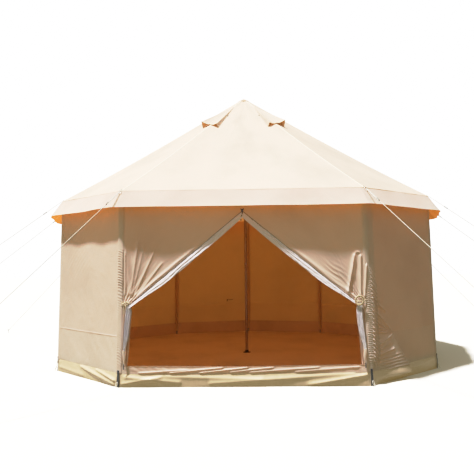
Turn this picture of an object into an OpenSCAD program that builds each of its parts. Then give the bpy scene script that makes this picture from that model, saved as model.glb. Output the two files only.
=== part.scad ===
// Canvas yurt tent: pyramid roof on a centre pole and eleven wall poles, with guy ropes.
// The tent stands on z = 0 with +Z up. The centre pole is on the Z axis and the door faces -Y.
// Its plan is a regular polygon whose front corner is left out, so the door panel is a straight chord.

/* [Plan] */
// Diameter across the corners at the ground
tent_d = 5000; // [4200:50:6000]
// How far each corner leans in between the ground and the eave
wall_lean = 50; // [20:5:90]

/* [Heights] */
// Height of the eave
eave_h = 1960; // [1750:10:2400]
// Height of the roof's point
apex_h = 3488; // [2900:10:4200]
// Height of the coated band that closes the foot of the walls
mud_h = 140; // [100:5:190]
// Height of the groundsheet's own raised edge
tub_h = 195; // [160:5:205]

/* [Canvas] */
// Thickness of the wall and roof canvas
canvas_t = 4; // [2:0.5:6]
// Thickness of the groundsheet
floor_t = 4; // [2:0.5:6]
// Thickness of the groundsheet's raised edge
tub_t = 3; // [2:0.5:5]
// How far the roof's edge passes the top of the wall
eave_over = 6; // [4:1:12]
// How far the valance stands out at each corner
valance_out = 140; // [80:5:180]
// How far the valance hangs below the eave
valance_drop = 178; // [120:2:240]

/* [Door] */
// Height of the point where the door's two edges meet
door_apex_h = 1740; // [1500:10:1840]
// Width of the doorway between the gathered canvas at the sill
door_w = 2330; // [1600:10:2370]
// Height of the sill
sill_h = 210; // [200:5:300]
// Height of the ties that hold the flaps back
tie_h = 830; // [700:10:1000]
// How much further apart the gathered canvas stands at the sill than at the tie
gather_taper = 55; // [20:5:90]
// How far the gathered canvas stands out from the wall
gather_out = 16; // [8:1:30]
// How far the gathered canvas stands in from the wall's face
gather_in = 30; // [12:1:45]
// Width of the net strip under each slanting edge
net_w = 75; // [40:5:100]
// Width of the hanging net at the tie
net_hang_w = 62; // [50:5:120]
// Width of the hanging net at its foot
net_foot_w = 34; // [20:2:60]
// Height of the hanging net's foot above the sill
net_foot_rise = 45; // [20:5:120]
// Thickness of the hanging net
net_hang_t = 22; // [12:2:40]
// Thickness of the net strip
net_t = 2; // [1:0.5:4]
// Diameter of the coiled tie cord
tie_d = 62; // [40:2:80]
// Thickness of the coiled tie cord
tie_t = 18; // [8:1:30]
// Length of the zip's pull tape
pull_l = 110; // [40:5:160]
// Width of the zip's pull tape
pull_w = 13; // [6:1:20]

/* [Vents] */
// Distance of a vent hood's point from the centre pole, along a hip
vent_start = 300; // [240:5:500]
// Length of a vent hood down the roof, measured level
vent_l = 520; // [300:10:620]
// Width of a vent hood's mouth
vent_w = 250; // [160:10:300]
// Height of a mouth's two outer corners above the roof
vent_h = 60; // [40:5:100]
// Thickness of a vent hood
vent_t = 3; // [2:0.5:5]
// Thickness of the net in a vent
vent_net_t = 1.6; // [1:0.2:3]
// Half the width of the roof left on the hip between a vent's two holes
vent_seam = 14; // [8:1:20]

/* [Poles] */
// Diameter of the centre pole
centre_d = 38; // [25:1:50]
// Diameter of the centre pole's foot plate
foot_d = 104; // [60:2:150]
// Thickness of the centre pole's foot plate
foot_t = 8; // [4:1:15]
// Diameter of a wall pole
wall_pole_d = 25; // [16:1:32]
// Radius of the cap on the roof's point
cap_r = 78; // [50:2:120]
// Thickness of the cap
cap_t = 4; // [2:0.5:8]

/* [Guy ropes] */
// Distance of the pegs from the centre pole
peg_r = 5030; // [4500:10:6200]
// Height of a peg above the ground
peg_h = 74; // [50:2:120]
// Diameter of a peg
peg_d = 9; // [6:1:14]
// Length of a peg's hook
peg_hook_l = 30; // [18:1:50]
// Height at which a rope holds its peg
peg_hold_h = 44; // [20:2:60]
// Diameter of a rope
rope_d = 6; // [4:0.5:10]
// Radius of a ring at the eave, to the middle of its wire
ring_r = 15; // [10:1:25]
// Diameter of the ring's wire
ring_wire_d = 4; // [3:0.5:6]
// Distance of a rope's slider from its ring
slider_at = 210; // [120:10:500]
// Length of a rope's slider
slider_l = 52; // [30:2:80]
// Diameter of a rope's slider
slider_d = 15; // [12:1:22]
// Width of a corner strap on each side of its corner
strap_w = 12; // [8:1:20]
// Height of a corner strap
strap_h = 168; // [120:2:240]
// Thickness of a corner strap
strap_t = 2; // [1:0.5:4]

/* [Hidden] */
// Sides of the full polygon and the angle from one corner to the next
sides = 12;
step = 360 / sides;
corners = sides - 1;
last = corners - 1;
// Clearance between pieces that are sewn or rest together
gap = 0.3;
// Clearance of a round end under a slope
slope_gap = 0.6;
// Lift of the trim above the ground
trim_lift = 1;
// Facets on round pieces
fine = 48;
// Indices of the four corners whose hips carry a vent
vent_corners = [0, 4, 6, 10];
// Share of a hood's length at which its sides begin
cheek_from = 0.06;
// Shares of a hood's length and width that its vent hole takes
hole_from = 0.4;
hole_to = 0.86;
hole_share = 0.62;

tent_r = tent_d / 2;
eave_r = tent_r - wall_lean + eave_over;
// Fall of the roof along a hip, and along the middle of a panel
hip_slope = (apex_h - eave_h) / eave_r;
panel_slope = hip_slope / cos(step / 2);
roof_rise = canvas_t / cos(atan(panel_slope));
// Corner radius of the hole round the centre pole
apex_r = (centre_d / 2 + gap) / cos(step);
door_half = door_w / 2;
tie_x = door_half - gather_taper;
edge_slope = (door_apex_h - tie_h) / tie_x;
net_drop = net_w / cos(atan(edge_slope));
net_end_h = tie_h - net_drop;
wall_top = eave_h + eave_over * hip_slope - roof_rise - gap;

// A level direction, with 0 at the front and turning towards +X
function dir(a) = [sin(a), -cos(a)];
// Radius of a wall corner at a height
function wall_r(z) = tent_r - wall_lean * z / eave_h;
// Angle of a corner, the middle direction of its two walls, and half the turn between them
function corner_a(i) = step * (i + 1);
function is_front(i) = i == 0 || i == last;
function half_turn(i) = is_front(i) ? step * 3 / 4 : step / 2;
function middle_a(i) = i == 0 ? step * 3 / 4 : i == last ? -step * 3 / 4 : corner_a(i);
// A corner of a wall polygon of radius r, moved in by the same distance from both walls
function corner(i, r, inset = 0) = r * dir(corner_a(i)) - inset / cos(half_turn(i)) * dir(middle_a(i));
function lift(p, z) = [p.x, p.y, z];
function toward(p, q, d) = p + d * (q - p) / norm(q - p);
function next(i) = i == last ? 0 : i + 1;
// One level ring of a slab between corner i and the next, from the outer edge round to the inner one
function wall_ring(i, z, inset, t) =
    let (j = next(i), r = wall_r(z),
         a = corner(i, r, inset), b = corner(j, r, inset),
         c = corner(j, r, inset + t), d = corner(i, r, inset + t))
    [lift(toward(a, b, gap / 2), z), lift(toward(b, a, gap / 2), z),
     lift(toward(c, d, gap / 2), z), lift(toward(d, c, gap / 2), z)];
// One face of a panel that falls from radius and height r1, z1 out to r2, z2
function fall_ring(i, r1, z1, r2, z2) =
    let (j = next(i), a = corner(i, r2), b = corner(j, r2), c = corner(j, r1), d = corner(i, r1))
    [lift(toward(a, b, gap / 2), z2), lift(toward(b, a, gap / 2), z2),
     lift(toward(c, d, gap / 2), z1), lift(toward(d, c, gap / 2), z1)];
function raise(ring, h) = [for (p = ring) p + [0, 0, h]];
// Half the width of the front wall at a height
function front_half(z) = wall_r(z) * sin(step) - canvas_t * tan(half_turn(0)) - gap;
// Distance of the front wall's outer face from the centre pole
function front_y(z) = wall_r(z) * cos(step);
front_lean = atan((front_y(0) - front_y(eave_h)) / eave_h);
// Inner edge of the gathered canvas at a height
function gather_x(z) = tie_x + gather_taper * (tie_h - z) / (tie_h - sill_h);
// Height of the door's slanting edge at a distance from the middle
function edge_h(x) = door_apex_h - edge_slope * x;
// Height of the roof's underside above a point of a hip
function under_h(r) = apex_h - hip_slope * r - roof_rise;
// Half the angle that a bay's roof panel spans
function bay_half(i) = i == last ? step : step / 2;
// Height of the roof's upper face at a distance along a hip and to one side of it, over the bay on that side
function roof_h(x, y) = apex_h - hip_slope * (x + y * tan($half));

// A closed solid between two rings of the same number of points
module loft(low, high) {
    n = len(low);
    polyhedron(
        points = concat(low, high),
        faces = concat(
            [[for (k = [0:n - 1]) k]],
            [[for (k = [0:n - 1]) 2 * n - 1 - k]],
            [for (k = [0:n - 1]) [k, n + k, n + (k + 1) % n, (k + 1) % n]]
        )
    );
}

// A round bar from one point to another
module bar(p, q, d) {
    v = q - p;
    translate(p)
        rotate([0, acos(v.z / norm(v)), atan2(v.y, v.x)])
            cylinder(h = norm(v), d = d, $fn = fine);
}

// A slab of wall between corner i and the next
module wall_slab(i, z0, z1, inset, t)
    loft(wall_ring(i, z0, inset, t), wall_ring(i, z1, inset, t));

// An outline drawn on the front wall, as a slab from out in front of its face to in behind it
module on_front(out, in)
    translate([0, -front_y(0), 0])
        rotate([90 - front_lean, 0, 0])
            translate([0, 0, -in])
                linear_extrude(out + in)
                    children();

// Heights along the leaning front wall
function up(z) = z / cos(front_lean);

module front_outline(points)
    polygon([for (p = points) [p.x, up(p.y)]]);

// Its origin is on the Z axis, with +X towards corner i
module to_corner(i)
    rotate([0, 0, corner_a(i) - 90])
        children();

module mirrored_pair() {
    children();
    mirror([1, 0, 0]) children();
}

module groundsheet()
    color("saddlebrown")
        linear_extrude(floor_t)
            polygon([for (i = [0:last]) corner(i, tent_r, canvas_t + gap)]);

module groundsheet_edge()
    color("saddlebrown")
        for (i = [0:last])
            wall_slab(i, floor_t + gap, tub_h, canvas_t + 2 * gap, tub_t);

module mud_wall()
    color("darkkhaki")
        for (i = [0:last])
            wall_slab(i, 0, mud_h, 0, canvas_t);

module wall_panel(i)
    color("wheat")
        wall_slab(i, mud_h + gap, wall_top, 0, canvas_t);

// The canvas above the left or right slanting edge of the door, from the eave down to the tie
module front_wall()
    color("wheat")
        on_front(0, canvas_t)
            front_outline([
                [gap, wall_top], [gap, edge_h(gap)], [tie_x, tie_h],
                [front_half(tie_h), tie_h], [front_half(wall_top), wall_top]
            ]);

// The canvas gathered below a tie, a flat stretch at the corner and a thick roll beside the doorway
module door_flap() {
    low = sill_h + gap;
    high = tie_h - gap;
    clear = wall_pole_d + tub_t;
    color("wheat")
        union() {
            on_front(0, canvas_t)
                front_outline([
                    [gather_x(low), low], [front_half(low), low],
                    [front_half(high), high], [gather_x(high), high]
                ]);
            on_front(gather_out, gather_in)
                front_outline([
                    [gather_x(low), low], [front_half(low) - clear, low],
                    [front_half(high) - clear, high], [gather_x(high), high]
                ]);
        }
}

module door_sill()
    color("wheat")
        on_front(0, canvas_t)
            front_outline([
                [-front_half(mud_h), mud_h + gap], [front_half(mud_h), mud_h + gap],
                [front_half(sill_h), sill_h], [-front_half(sill_h), sill_h]
            ]);

// The net strips under the slanting edges
module door_nets()
    color("lavender")
        mirrored_pair()
            on_front(0, net_t)
                front_outline([
                    [gap / 2, edge_h(0) - gap], [gap / 2, edge_h(0) - net_drop],
                    [tie_x, net_end_h], [tie_x, tie_h - gap - slope_gap]
                ]);

// The rest of each net, bunched and hanging from the tie beside the gathered canvas
module hanging_nets() {
    foot = sill_h + net_foot_rise;
    outer = gather_x(net_end_h) - gap;
    inner = outer - net_hang_w;
    color("lavender")
        mirrored_pair()
            on_front(0, net_hang_t)
                front_outline([
                    [gather_x(foot) - gap, foot], [outer, edge_h(outer) - net_drop - slope_gap],
                    [inner, edge_h(inner) - net_drop - slope_gap], [gather_x(foot) - net_foot_w, foot]
                ]);
}

// Coils of cord that hold the flaps back
module door_ties() {
    middle = (gather_x(tie_h) + front_half(tie_h) - wall_pole_d) / 2;
    color("linen")
        mirrored_pair()
            on_front(gather_out + gap + tie_t, -gather_out - gap)
                translate([middle, up(tie_h - tie_d / 2)])
                    circle(d = tie_d, $fn = fine);
}

module zip_pull()
    color("black")
        on_front(strap_t + gap, -gap)
            front_outline([
                [-pull_w / 2, door_apex_h - pull_l], [pull_w / 2, door_apex_h - pull_l],
                [pull_w / 2, door_apex_h + pull_w], [-pull_w / 2, door_apex_h + pull_w]
            ]);

// The outline of a vent's hole on one side of its hip, grown by a margin
function vent_outline(margin) =
    let (x0 = vent_start + vent_l * hole_from, x1 = vent_start + vent_l * hole_to,
         w0 = vent_w / 2 * hole_from * hole_share, w1 = vent_w / 2 * hole_to * hole_share)
    [[x0 - margin, vent_seam - margin], [x1 + margin, vent_seam - margin],
     [x1 + margin, w1 + margin], [x0 - margin, w0 + margin]];

module roof_panel(i) {
    under = fall_ring(i, apex_r, under_h(apex_r), eave_r, under_h(eave_r));
    color("cornsilk")
        difference() {
            loft(under, raise(under, roof_rise));
            for (c = vent_corners)
                if (c == i || c == next(i))
                    to_corner(c)
                        translate([0, 0, eave_h])
                            linear_extrude(apex_h - eave_h) {
                                polygon(vent_outline(0));
                                mirror([0, 1, 0]) polygon(vent_outline(0));
                            }
        }
}

// The strip that hangs outside the walls from the roof's edge
module valance() {
    start = eave_r + gap;
    slope = valance_drop / (valance_out - gap);
    rise = canvas_t / cos(atan(slope));
    color("cornsilk")
        for (i = [0:last]) {
            under = fall_ring(i, start, eave_h - rise, eave_r + valance_out, eave_h - valance_drop - rise);
            loft(under, raise(under, rise));
        }
}

// The two sides of a vent, each over its own bay
module vent_sides(c) {
    to_corner(c) {
        $half = bay_half(c);
        children();
    }
    to_corner(c)
        mirror([0, 1, 0]) {
            $half = bay_half(c == 0 ? last : c - 1);
            children();
        }
}

// Half a hood: a leaf that rises from the hip to its outer corner, and a cheek that closes its side
module half_hood() {
    end = vent_start + vent_l;
    side = vent_w / 2;
    point = [vent_start, gap / 2, roof_h(vent_start, 0) + gap];
    middle = [end, gap / 2, roof_h(end, 0) + gap];
    outer = [end, side, roof_h(end, side) + vent_h];
    start = point + cheek_from * (outer - point);
    function foot(p) = [p.x, p.y, roof_h(p.x, p.y - vent_t) + gap];
    leaf = [point, middle, outer];
    cheek = [foot(start), foot(outer), outer, start];
    union() {
        loft(leaf, raise(leaf, vent_t));
        loft(cheek, [for (p = cheek) p - [0, vent_t, 0]]);
    }
}

module vent_hoods()
    color("cornsilk")
        for (c = vent_corners)
            vent_sides(c) half_hood();

module vent_net() {
    under = [for (p = vent_outline(-gap)) [p.x, p.y, roof_h(p.x, p.y) - (roof_rise + vent_net_t) / 2]];
    loft(under, raise(under, vent_net_t));
}

module vent_nets()
    color("dimgray")
        for (c = vent_corners)
            vent_sides(c) vent_net();

// A shallow cone over the point of the roof
module apex_cap()
    color("cornsilk")
        rotate_extrude($fn = fine)
            polygon([
                [0, apex_h + gap], [cap_r, apex_h + gap - hip_slope * cap_r],
                [cap_r, apex_h + gap + cap_t - hip_slope * cap_r], [0, apex_h + gap + cap_t]
            ]);

module pole_foot()
    color("dimgray")
        translate([0, 0, floor_t + gap])
            cylinder(h = foot_t, d = foot_d, $fn = fine);

module centre_pole() {
    base = floor_t + foot_t + 2 * gap;
    top = apex_h - hip_slope * centre_d / 2;
    color("#3a2a22")
        translate([0, 0, base])
            cylinder(h = top - base, d = centre_d, $fn = fine);
}

// One pole stands in each corner, inside the groundsheet's edge, and leans with the walls
module wall_poles() {
    reach = canvas_t + tub_t + 3 * gap;
    inset = reach + wall_pole_d / 2;
    base = floor_t + slope_gap;
    top = under_h(eave_r) + panel_slope * (reach + eave_over * cos(step / 2)) - slope_gap;
    color("slategray")
        for (i = [0:last])
            bar(lift(corner(i, wall_r(base), inset), base), lift(corner(i, wall_r(top), inset), top), wall_pole_d);
}

// A strap bent round the foot of each corner
module corner_straps() {
    function ring(i, z) =
        let (r = wall_r(z), a = corner(i, r, -gap - strap_t), b = corner(i, r, -gap),
             side = middle_a(i) - half_turn(i) + 90, far = middle_a(i) + half_turn(i) - 90,
             u = dir(side), v = dir(far))
        [for (p = [a, a - strap_w * u, b - strap_w * u, b, b - strap_w * v, a - strap_w * v]) lift(p, z)];
    color("black")
        for (i = [0:last])
            loft(ring(i, trim_lift), ring(i, strap_h));
}

// The rope runs along a straight line from the eave to its peg
guy_start = [eave_r, eave_h + ring_wire_d / 2 + slope_gap];
guy_end = [peg_r, peg_hold_h];
guy_run = (guy_end - guy_start) / norm(guy_end - guy_start);
function on_guy(d) = let (p = guy_start + d * guy_run) [p.x, 0, p.y];
ring_reach = ring_r * 2 + ring_wire_d;
// Where the sloping end of a rope comes up to its peg
peg_reach = (peg_d / 2 + gap - rope_d / 2 * guy_run.y) / guy_run.x;

module guy_rings()
    color("silver")
        for (i = [0:last])
            to_corner(i)
                translate(on_guy(ring_r + ring_wire_d / 2))
                    rotate([0, atan2(-guy_run.y, guy_run.x), 0])
                        rotate_extrude($fn = fine)
                            translate([ring_r, 0])
                                circle(d = ring_wire_d, $fn = fine);

module guy_ropes()
    color("ivory")
        for (i = [0:last])
            to_corner(i)
                bar(
                    on_guy(ring_reach + gap),
                    on_guy(norm(guy_end - guy_start) - peg_reach),
                    rope_d
                );

module guy_sliders()
    color("black")
        for (i = [0:last])
            to_corner(i)
                difference() {
                    bar(on_guy(slider_at), on_guy(slider_at + slider_l), slider_d);
                    bar(on_guy(slider_at - 1), on_guy(slider_at + slider_l + 1), rope_d + 2 * gap);
                }

// The part of each peg that stands above the ground
module pegs()
    color("gray")
        for (i = [0:last])
            to_corner(i)
                translate([peg_r, 0, 0])
                    union() {
                        cylinder(h = peg_h, d = peg_d, $fn = fine);
                        translate([0, 0, peg_h - peg_d / 2])
                            rotate([0, 90, 0])
                                cylinder(h = peg_hook_l, d = peg_d, $fn = fine);
                    }

groundsheet();
groundsheet_edge();
mud_wall();
for (i = [0:last - 1])
    wall_panel(i);
mirror([1, 0, 0]) front_wall();  // front_wall_left
front_wall();  // front_wall_right
door_sill();
mirror([1, 0, 0]) door_flap();  // door_flap_left
door_flap();  // door_flap_right
door_nets();
hanging_nets();
door_ties();
zip_pull();
for (i = [0:last])
    roof_panel(i);
valance();
vent_hoods();
vent_nets();
apex_cap();
centre_pole();
pole_foot();
wall_poles();
corner_straps();
guy_rings();
guy_ropes();
guy_sliders();
pegs();
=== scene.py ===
import math

import bpy
import numpy as np
from mathutils import Matrix, Vector


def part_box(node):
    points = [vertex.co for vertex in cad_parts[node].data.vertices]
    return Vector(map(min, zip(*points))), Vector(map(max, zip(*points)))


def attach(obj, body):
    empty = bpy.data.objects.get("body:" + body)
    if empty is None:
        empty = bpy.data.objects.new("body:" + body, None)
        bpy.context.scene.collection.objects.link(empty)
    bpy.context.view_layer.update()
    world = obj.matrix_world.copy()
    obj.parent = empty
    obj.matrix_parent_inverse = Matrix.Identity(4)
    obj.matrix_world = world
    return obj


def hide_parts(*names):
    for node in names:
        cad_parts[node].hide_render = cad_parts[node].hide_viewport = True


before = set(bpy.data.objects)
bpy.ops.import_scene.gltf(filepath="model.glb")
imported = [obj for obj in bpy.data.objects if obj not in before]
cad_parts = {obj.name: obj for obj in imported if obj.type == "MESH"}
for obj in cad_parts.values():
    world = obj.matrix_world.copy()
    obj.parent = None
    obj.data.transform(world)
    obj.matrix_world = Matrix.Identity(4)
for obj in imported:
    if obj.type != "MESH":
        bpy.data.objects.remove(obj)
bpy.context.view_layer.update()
print("frame loaded:", len(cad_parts), "nodes")


# ---- the tent's own measures, read from the frame ----

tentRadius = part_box("mud_wall")[1].x
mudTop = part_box("mud_wall")[1].z
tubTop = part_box("groundsheet_edge")[1].z
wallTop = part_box("wall_panel_1")[1].z
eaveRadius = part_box("roof_panel_3")[1].x
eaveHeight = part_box("valance")[1].z
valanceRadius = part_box("valance")[1].x
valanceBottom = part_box("valance")[0].z
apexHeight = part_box("roof_panel_3")[1].z + 0.012  # the panels stop at the pole's hole
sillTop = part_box("door_sill")[1].z
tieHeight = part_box("front_wall_right")[0].z
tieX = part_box("door_nets")[1].x
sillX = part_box("hanging_nets")[1].x
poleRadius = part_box("centre_pole")[1].x
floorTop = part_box("groundsheet")[1].z

tent = {
    "cornerStep": math.radians(30),
    "corners": 11,
    "wallLean": 0.05,
    "doorApex": 1.74,
    "seamHeight": 0.50,
    "canvas": 0.0022,
    "leftBay": 9,
}
bays = range(tent["corners"])
frontBay = tent["corners"] - 1
upAxis = np.array([0.0, 0.0, 1.0])


def unit(vector):
    return vector / np.linalg.norm(vector, axis=-1, keepdims=True)


def arrays(*values):
    return np.broadcast_arrays(*[np.asarray(value, float) for value in values])


def gridOf(first, second):
    return np.meshgrid(first, second, indexing="ij")


def flatMap(across, along):
    return np.stack(arrays(across, along), -1)


def fullTurn(count):
    return np.linspace(0, 2 * math.pi, count, endpoint=False)


# runs of evenly spaced values that share their ends: each run is its end and its count
def runs(start, *parts):
    values = [start]
    for end, count in parts:
        values.append(np.linspace(start, end, count))
        start = end
    return np.unique(np.hstack(values))


def cornerDirection(corner):
    angle = tent["cornerStep"] * (corner % tent["corners"] + 1)
    return np.array([math.sin(angle), -math.cos(angle), 0.0])


def sideways(corner):
    return np.cross(upAxis, cornerDirection(corner))


def wallRadius(z):
    return tentRadius - tent["wallLean"] * z / eaveHeight


# level points of a bay at some radius: u runs from one corner to the next
def acrossBay(bay, radius, u):
    a, b = cornerDirection(bay), cornerDirection(bay + 1)
    return radius[..., None] * (a + (b - a) * u[..., None])


def bayNormal(bay):
    return unit(cornerDirection(bay) + cornerDirection(bay + 1))


# a point on a wall's outer face; out stands off the face
def bayPoint(bay, u, z, out=0.0):
    u, z, out = arrays(u, z, out)
    return acrossBay(bay, wallRadius(z), u) + z[..., None] * upAxis + out[..., None] * bayNormal(bay)


# a point on the front wall's outer face, by its distance from the middle
def frontPoint(x, z, out=0.0):
    x, z, out = arrays(x, z, out)
    return np.stack([x, -wallRadius(z) * math.cos(tent["cornerStep"]) - out, z], -1)


def frontHalf(z):
    return wallRadius(z) * math.sin(tent["cornerStep"])


def bayWidth(bay):
    return float(np.linalg.norm(cornerDirection(bay + 1) - cornerDirection(bay))) * tentRadius


def bayStart(bay):
    return sum(bayWidth(k) for k in range(bay))


# 0 at a bay's corners and 1 in its middle
def midBay(u):
    return np.clip(4 * u * (1 - u), 0, 1)


# ---- small helpers for cloth relief ----


def smooth(low, high, value):
    t = np.clip((value - low) / (high - low), 0, 1)
    return t * t * (3 - 2 * t)


def lattice(ix, iy, seed):
    value = np.sin(ix * 127.1 + iy * 311.7 + seed * 74.7) * 43758.5453
    return (value - np.floor(value)) * 2 - 1


def softNoise(x, y, seed):
    ix, iy = np.floor(x), np.floor(y)
    fx, fy = smooth(0, 1, x - ix), smooth(0, 1, y - iy)
    low = lattice(ix, iy, seed) * (1 - fx) + lattice(ix + 1, iy, seed) * fx
    high = lattice(ix, iy + 1, seed) * (1 - fx) + lattice(ix + 1, iy + 1, seed) * fx
    return low * (1 - fy) + high * fy


# a crease: flat valleys and a pinched top, from 0 to 1, once every turn
def pinch(turns):
    return 1 - np.sqrt(np.sin(np.pi * turns) ** 2 + 0.02)


def bell(value, middle, width):
    return np.exp(-(((value - middle) / width) ** 2))


# a half wave from 0 up to 1 and back to 0
def belly(share, power=1.0):
    return np.sin(np.pi * np.clip(share, 0, 1)) ** power


# a sharp ridge along a straight line, 1 on the line and fading to 0 at its sides and ends
def ridge(x, z, start, end, width):
    run = np.array(end) - np.array(start)
    length = np.hypot(*run)
    along = ((x - start[0]) * run[0] + (z - start[1]) * run[1]) / length
    off = ((x - start[0]) * run[1] - (z - start[1]) * run[0]) / length
    fade = smooth(-0.012, 0.03, along) * smooth(length + 0.012, length - 0.03, along)
    return np.exp(-((np.abs(off) / width) ** 1.4)) * fade


# folds are listed as start, end, width and rise
def foldRises(x, z, folds):
    return [rise * ridge(x, z, start, end, width) for start, end, width, rise in folds]


# ---- mesh builders ----


# cloth of a real thickness from a grid of points on its outer face
def clothParts(points, flat, thickness, keep=None, wrap=False):
    rows, columns = points.shape[:2]
    along = np.roll(points, -1, 0) - np.roll(points, 1, 0) if wrap else np.gradient(points, axis=0)
    normal = np.cross(along, np.gradient(points, axis=1))
    back = points - normal / np.maximum(np.linalg.norm(normal, axis=-1, keepdims=True), 1e-9) * thickness
    number = np.arange(rows * columns).reshape(rows, columns)
    nextRow = np.roll(number, -1, 0)
    cells = np.stack([number[:, :-1], nextRow[:, :-1], nextRow[:, 1:], number[:, 1:]], -1)
    if not wrap:
        cells = cells[:-1]
    cells = cells[keep] if keep is not None else cells.reshape(-1, 4)
    total = rows * columns
    edges = np.concatenate([cells[:, [k, (k + 1) % 4]] for k in range(4)])
    code = edges[:, 0] * total + edges[:, 1]
    turned = edges[:, 1] * total + edges[:, 0]
    rim = edges[~np.isin(code, turned)]
    rimFaces = np.stack([rim[:, 1], rim[:, 0], rim[:, 0] + total, rim[:, 1] + total], -1)
    vertices = np.concatenate([points.reshape(-1, 3), back.reshape(-1, 3)])
    faces = np.concatenate([cells, cells[:, ::-1] + total, rimFaces])
    marks = np.concatenate([np.zeros(len(cells)), np.ones(len(cells)), np.zeros(len(rimFaces))])
    flat = np.concatenate([flat.reshape(-1, 2)] * 2)
    used = np.zeros(total * 2, bool)
    used[faces.ravel()] = True
    place = np.cumsum(used) - 1
    return vertices[used], place[faces], flat[used], marks


def joinParts(parts):
    vertices, faces, flat, marks, start = [], [], [], [], 0
    for part in parts:
        vertices.append(part[0])
        faces.extend((np.asarray(f) + start) for f in part[1])
        flat.append(part[2])
        marks.append(part[3])
        start += len(part[0])
    return np.concatenate(vertices), faces, np.concatenate(flat), np.concatenate(marks)


# quads between rings of points that follow each other
def ringFaces(count, sides, closed):
    faces = []
    for i in range(count if closed else count - 1):
        j = (i + 1) % count
        for k in range(sides):
            m = (k + 1) % sides
            faces.append((i * sides + k, i * sides + m, j * sides + m, j * sides + k))
    if not closed:
        faces.append(tuple(range(sides))[::-1])
        faces.append(tuple((count - 1) * sides + k for k in range(sides)))
    return faces


# a round or flattened bar along a path
def sweptParts(path, radius, sides=10, closed=False, mark=0, flatten=1.0, side=None):
    path = np.asarray(path, float)
    count = len(path)
    tangent = np.roll(path, -1, 0) - np.roll(path, 1, 0) if closed else np.gradient(path, axis=0)
    tangent /= np.maximum(np.linalg.norm(tangent, axis=1, keepdims=True), 1e-12)
    start = side if side is not None else (upAxis if abs(tangent[0][2]) < 0.9 else [1, 0, 0])
    frames, current = [], np.array(start, float)
    for t in tangent:
        current = unit(current - t * current.dot(t))
        frames.append(current)
    first = np.array(frames)
    second = np.cross(tangent, first)
    turn = fullTurn(sides)
    radius = np.broadcast_to(np.asarray(radius, float), (count,))
    level, upright = np.cos(turn)[None, :, None], flatten * np.sin(turn)[None, :, None]
    ring = level * first[:, None] + upright * second[:, None]
    vertices = (path[:, None] + ring * radius[:, None, None]).reshape(-1, 3)
    length = np.concatenate([[0], np.cumsum(np.linalg.norm(np.diff(path, axis=0), axis=1))])
    flat = flatMap(turn[None] / (2 * math.pi), length[:, None]).reshape(-1, 2)
    faces = ringFaces(count, sides, closed)
    return vertices, faces, flat, np.full(len(faces), mark)


# a turned shape round the Z axis, from a list of radius and height
def turnedParts(profile, sides):
    profile = np.asarray(profile, float)
    reach, height = profile[:, :1], profile[:, 1:]
    turn = fullTurn(sides)[None]
    vertices = np.stack(arrays(reach * np.cos(turn), reach * np.sin(turn), height), -1).reshape(-1, 3)
    faces = ringFaces(len(profile), sides, False)
    return vertices, faces, flatMap(turn, height).reshape(-1, 2), np.zeros(len(faces))


# an oval path from its middle and its two half axes
def ovalPath(middle, first, second, count):
    turn = fullTurn(count)[:, None]
    return np.asarray(middle) + np.cos(turn) * np.asarray(first) + np.sin(turn) * np.asarray(second)


# makes a piece from one part or a list of parts; the nodes are those that it replaces
def makePiece(name, parts, slot, materials, *nodes, smoothAngle=60):
    vertices, faces, flat, marks = joinParts(parts) if isinstance(parts, list) else parts
    mesh = bpy.data.meshes.new(name)
    mesh.from_pydata(np.asarray(vertices).tolist(), [], [list(map(int, f)) for f in faces])
    mesh.polygons.foreach_set("material_index", np.asarray(marks, np.int32))
    corners = np.zeros(len(mesh.loops), np.int32)
    mesh.loops.foreach_get("vertex_index", corners)
    layer = mesh.uv_layers.new(name="cloth")
    layer.data.foreach_set("uv", np.asarray(flat, np.float32)[corners].ravel())
    mesh.update()
    mesh.shade_smooth()
    mesh.set_sharp_from_angle(angle=math.radians(smoothAngle))
    piece = bpy.data.objects.new(name, mesh)
    bpy.context.scene.collection.objects.link(piece)
    for material in materials:
        mesh.materials.append(material)
    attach(piece, "root")
    if nodes:
        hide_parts(*nodes)
    return piece


# ---- materials ----


def newMaterial(name):
    material = bpy.data.materials.new(name)
    material.use_nodes = True
    material.node_tree.nodes.clear()
    return material, material.node_tree


def addNode(tree, kind, values=None, **settings):
    node = tree.nodes.new("ShaderNode" + kind)
    for key, value in settings.items():
        setattr(node, key, value)
    for key, value in (values or {}).items():
        if isinstance(value, bpy.types.NodeSocket):
            tree.links.new(value, node.inputs[key])
        else:
            node.inputs[key].default_value = value
    return node


def output(tree, shader, kind="OutputMaterial"):
    addNode(tree, kind, {0: shader.outputs[0]})


def mapped(tree, coords, **values):
    return addNode(tree, "Mapping", {"Vector": coords, **values}).outputs[0]


def clothCoords(tree, *scale):
    return mapped(tree, addNode(tree, "UVMap", uv_map="cloth").outputs[0], Scale=(*scale, 1))


def ownCoords(tree, scale=(1, 1, 1)):
    return mapped(tree, addNode(tree, "TexCoord").outputs["Object"], Scale=scale)


def mixTwo(tree, factor, a, b, blend="MIX"):
    return addNode(tree, "Mix", {0: factor, 6: a, 7: b}, data_type="RGBA", blend_type=blend).outputs[2]


def maths(tree, operation, a, b):
    return addNode(tree, "Math", {0: a, 1: b}, operation=operation).outputs[0]


def noiseValue(tree, vector, scale, detail, rough=0.55, distortion=0.0):
    values = {"Vector": vector, "Scale": scale, "Detail": detail, "Roughness": rough,
              "Distortion": distortion}
    return addNode(tree, "TexNoise", values).outputs[0]


def waveValue(tree, vector, distortion, direction):
    values = {"Vector": vector, "Scale": 1.0, "Distortion": distortion, "Detail": 1.0}
    return addNode(tree, "TexWave", values, bands_direction=direction).outputs["Fac"]


def bumpNormal(tree, height, distance, strength, **values):
    values.update({"Height": height, "Distance": distance, "Strength": strength})
    return addNode(tree, "Bump", values).outputs[0]


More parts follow.
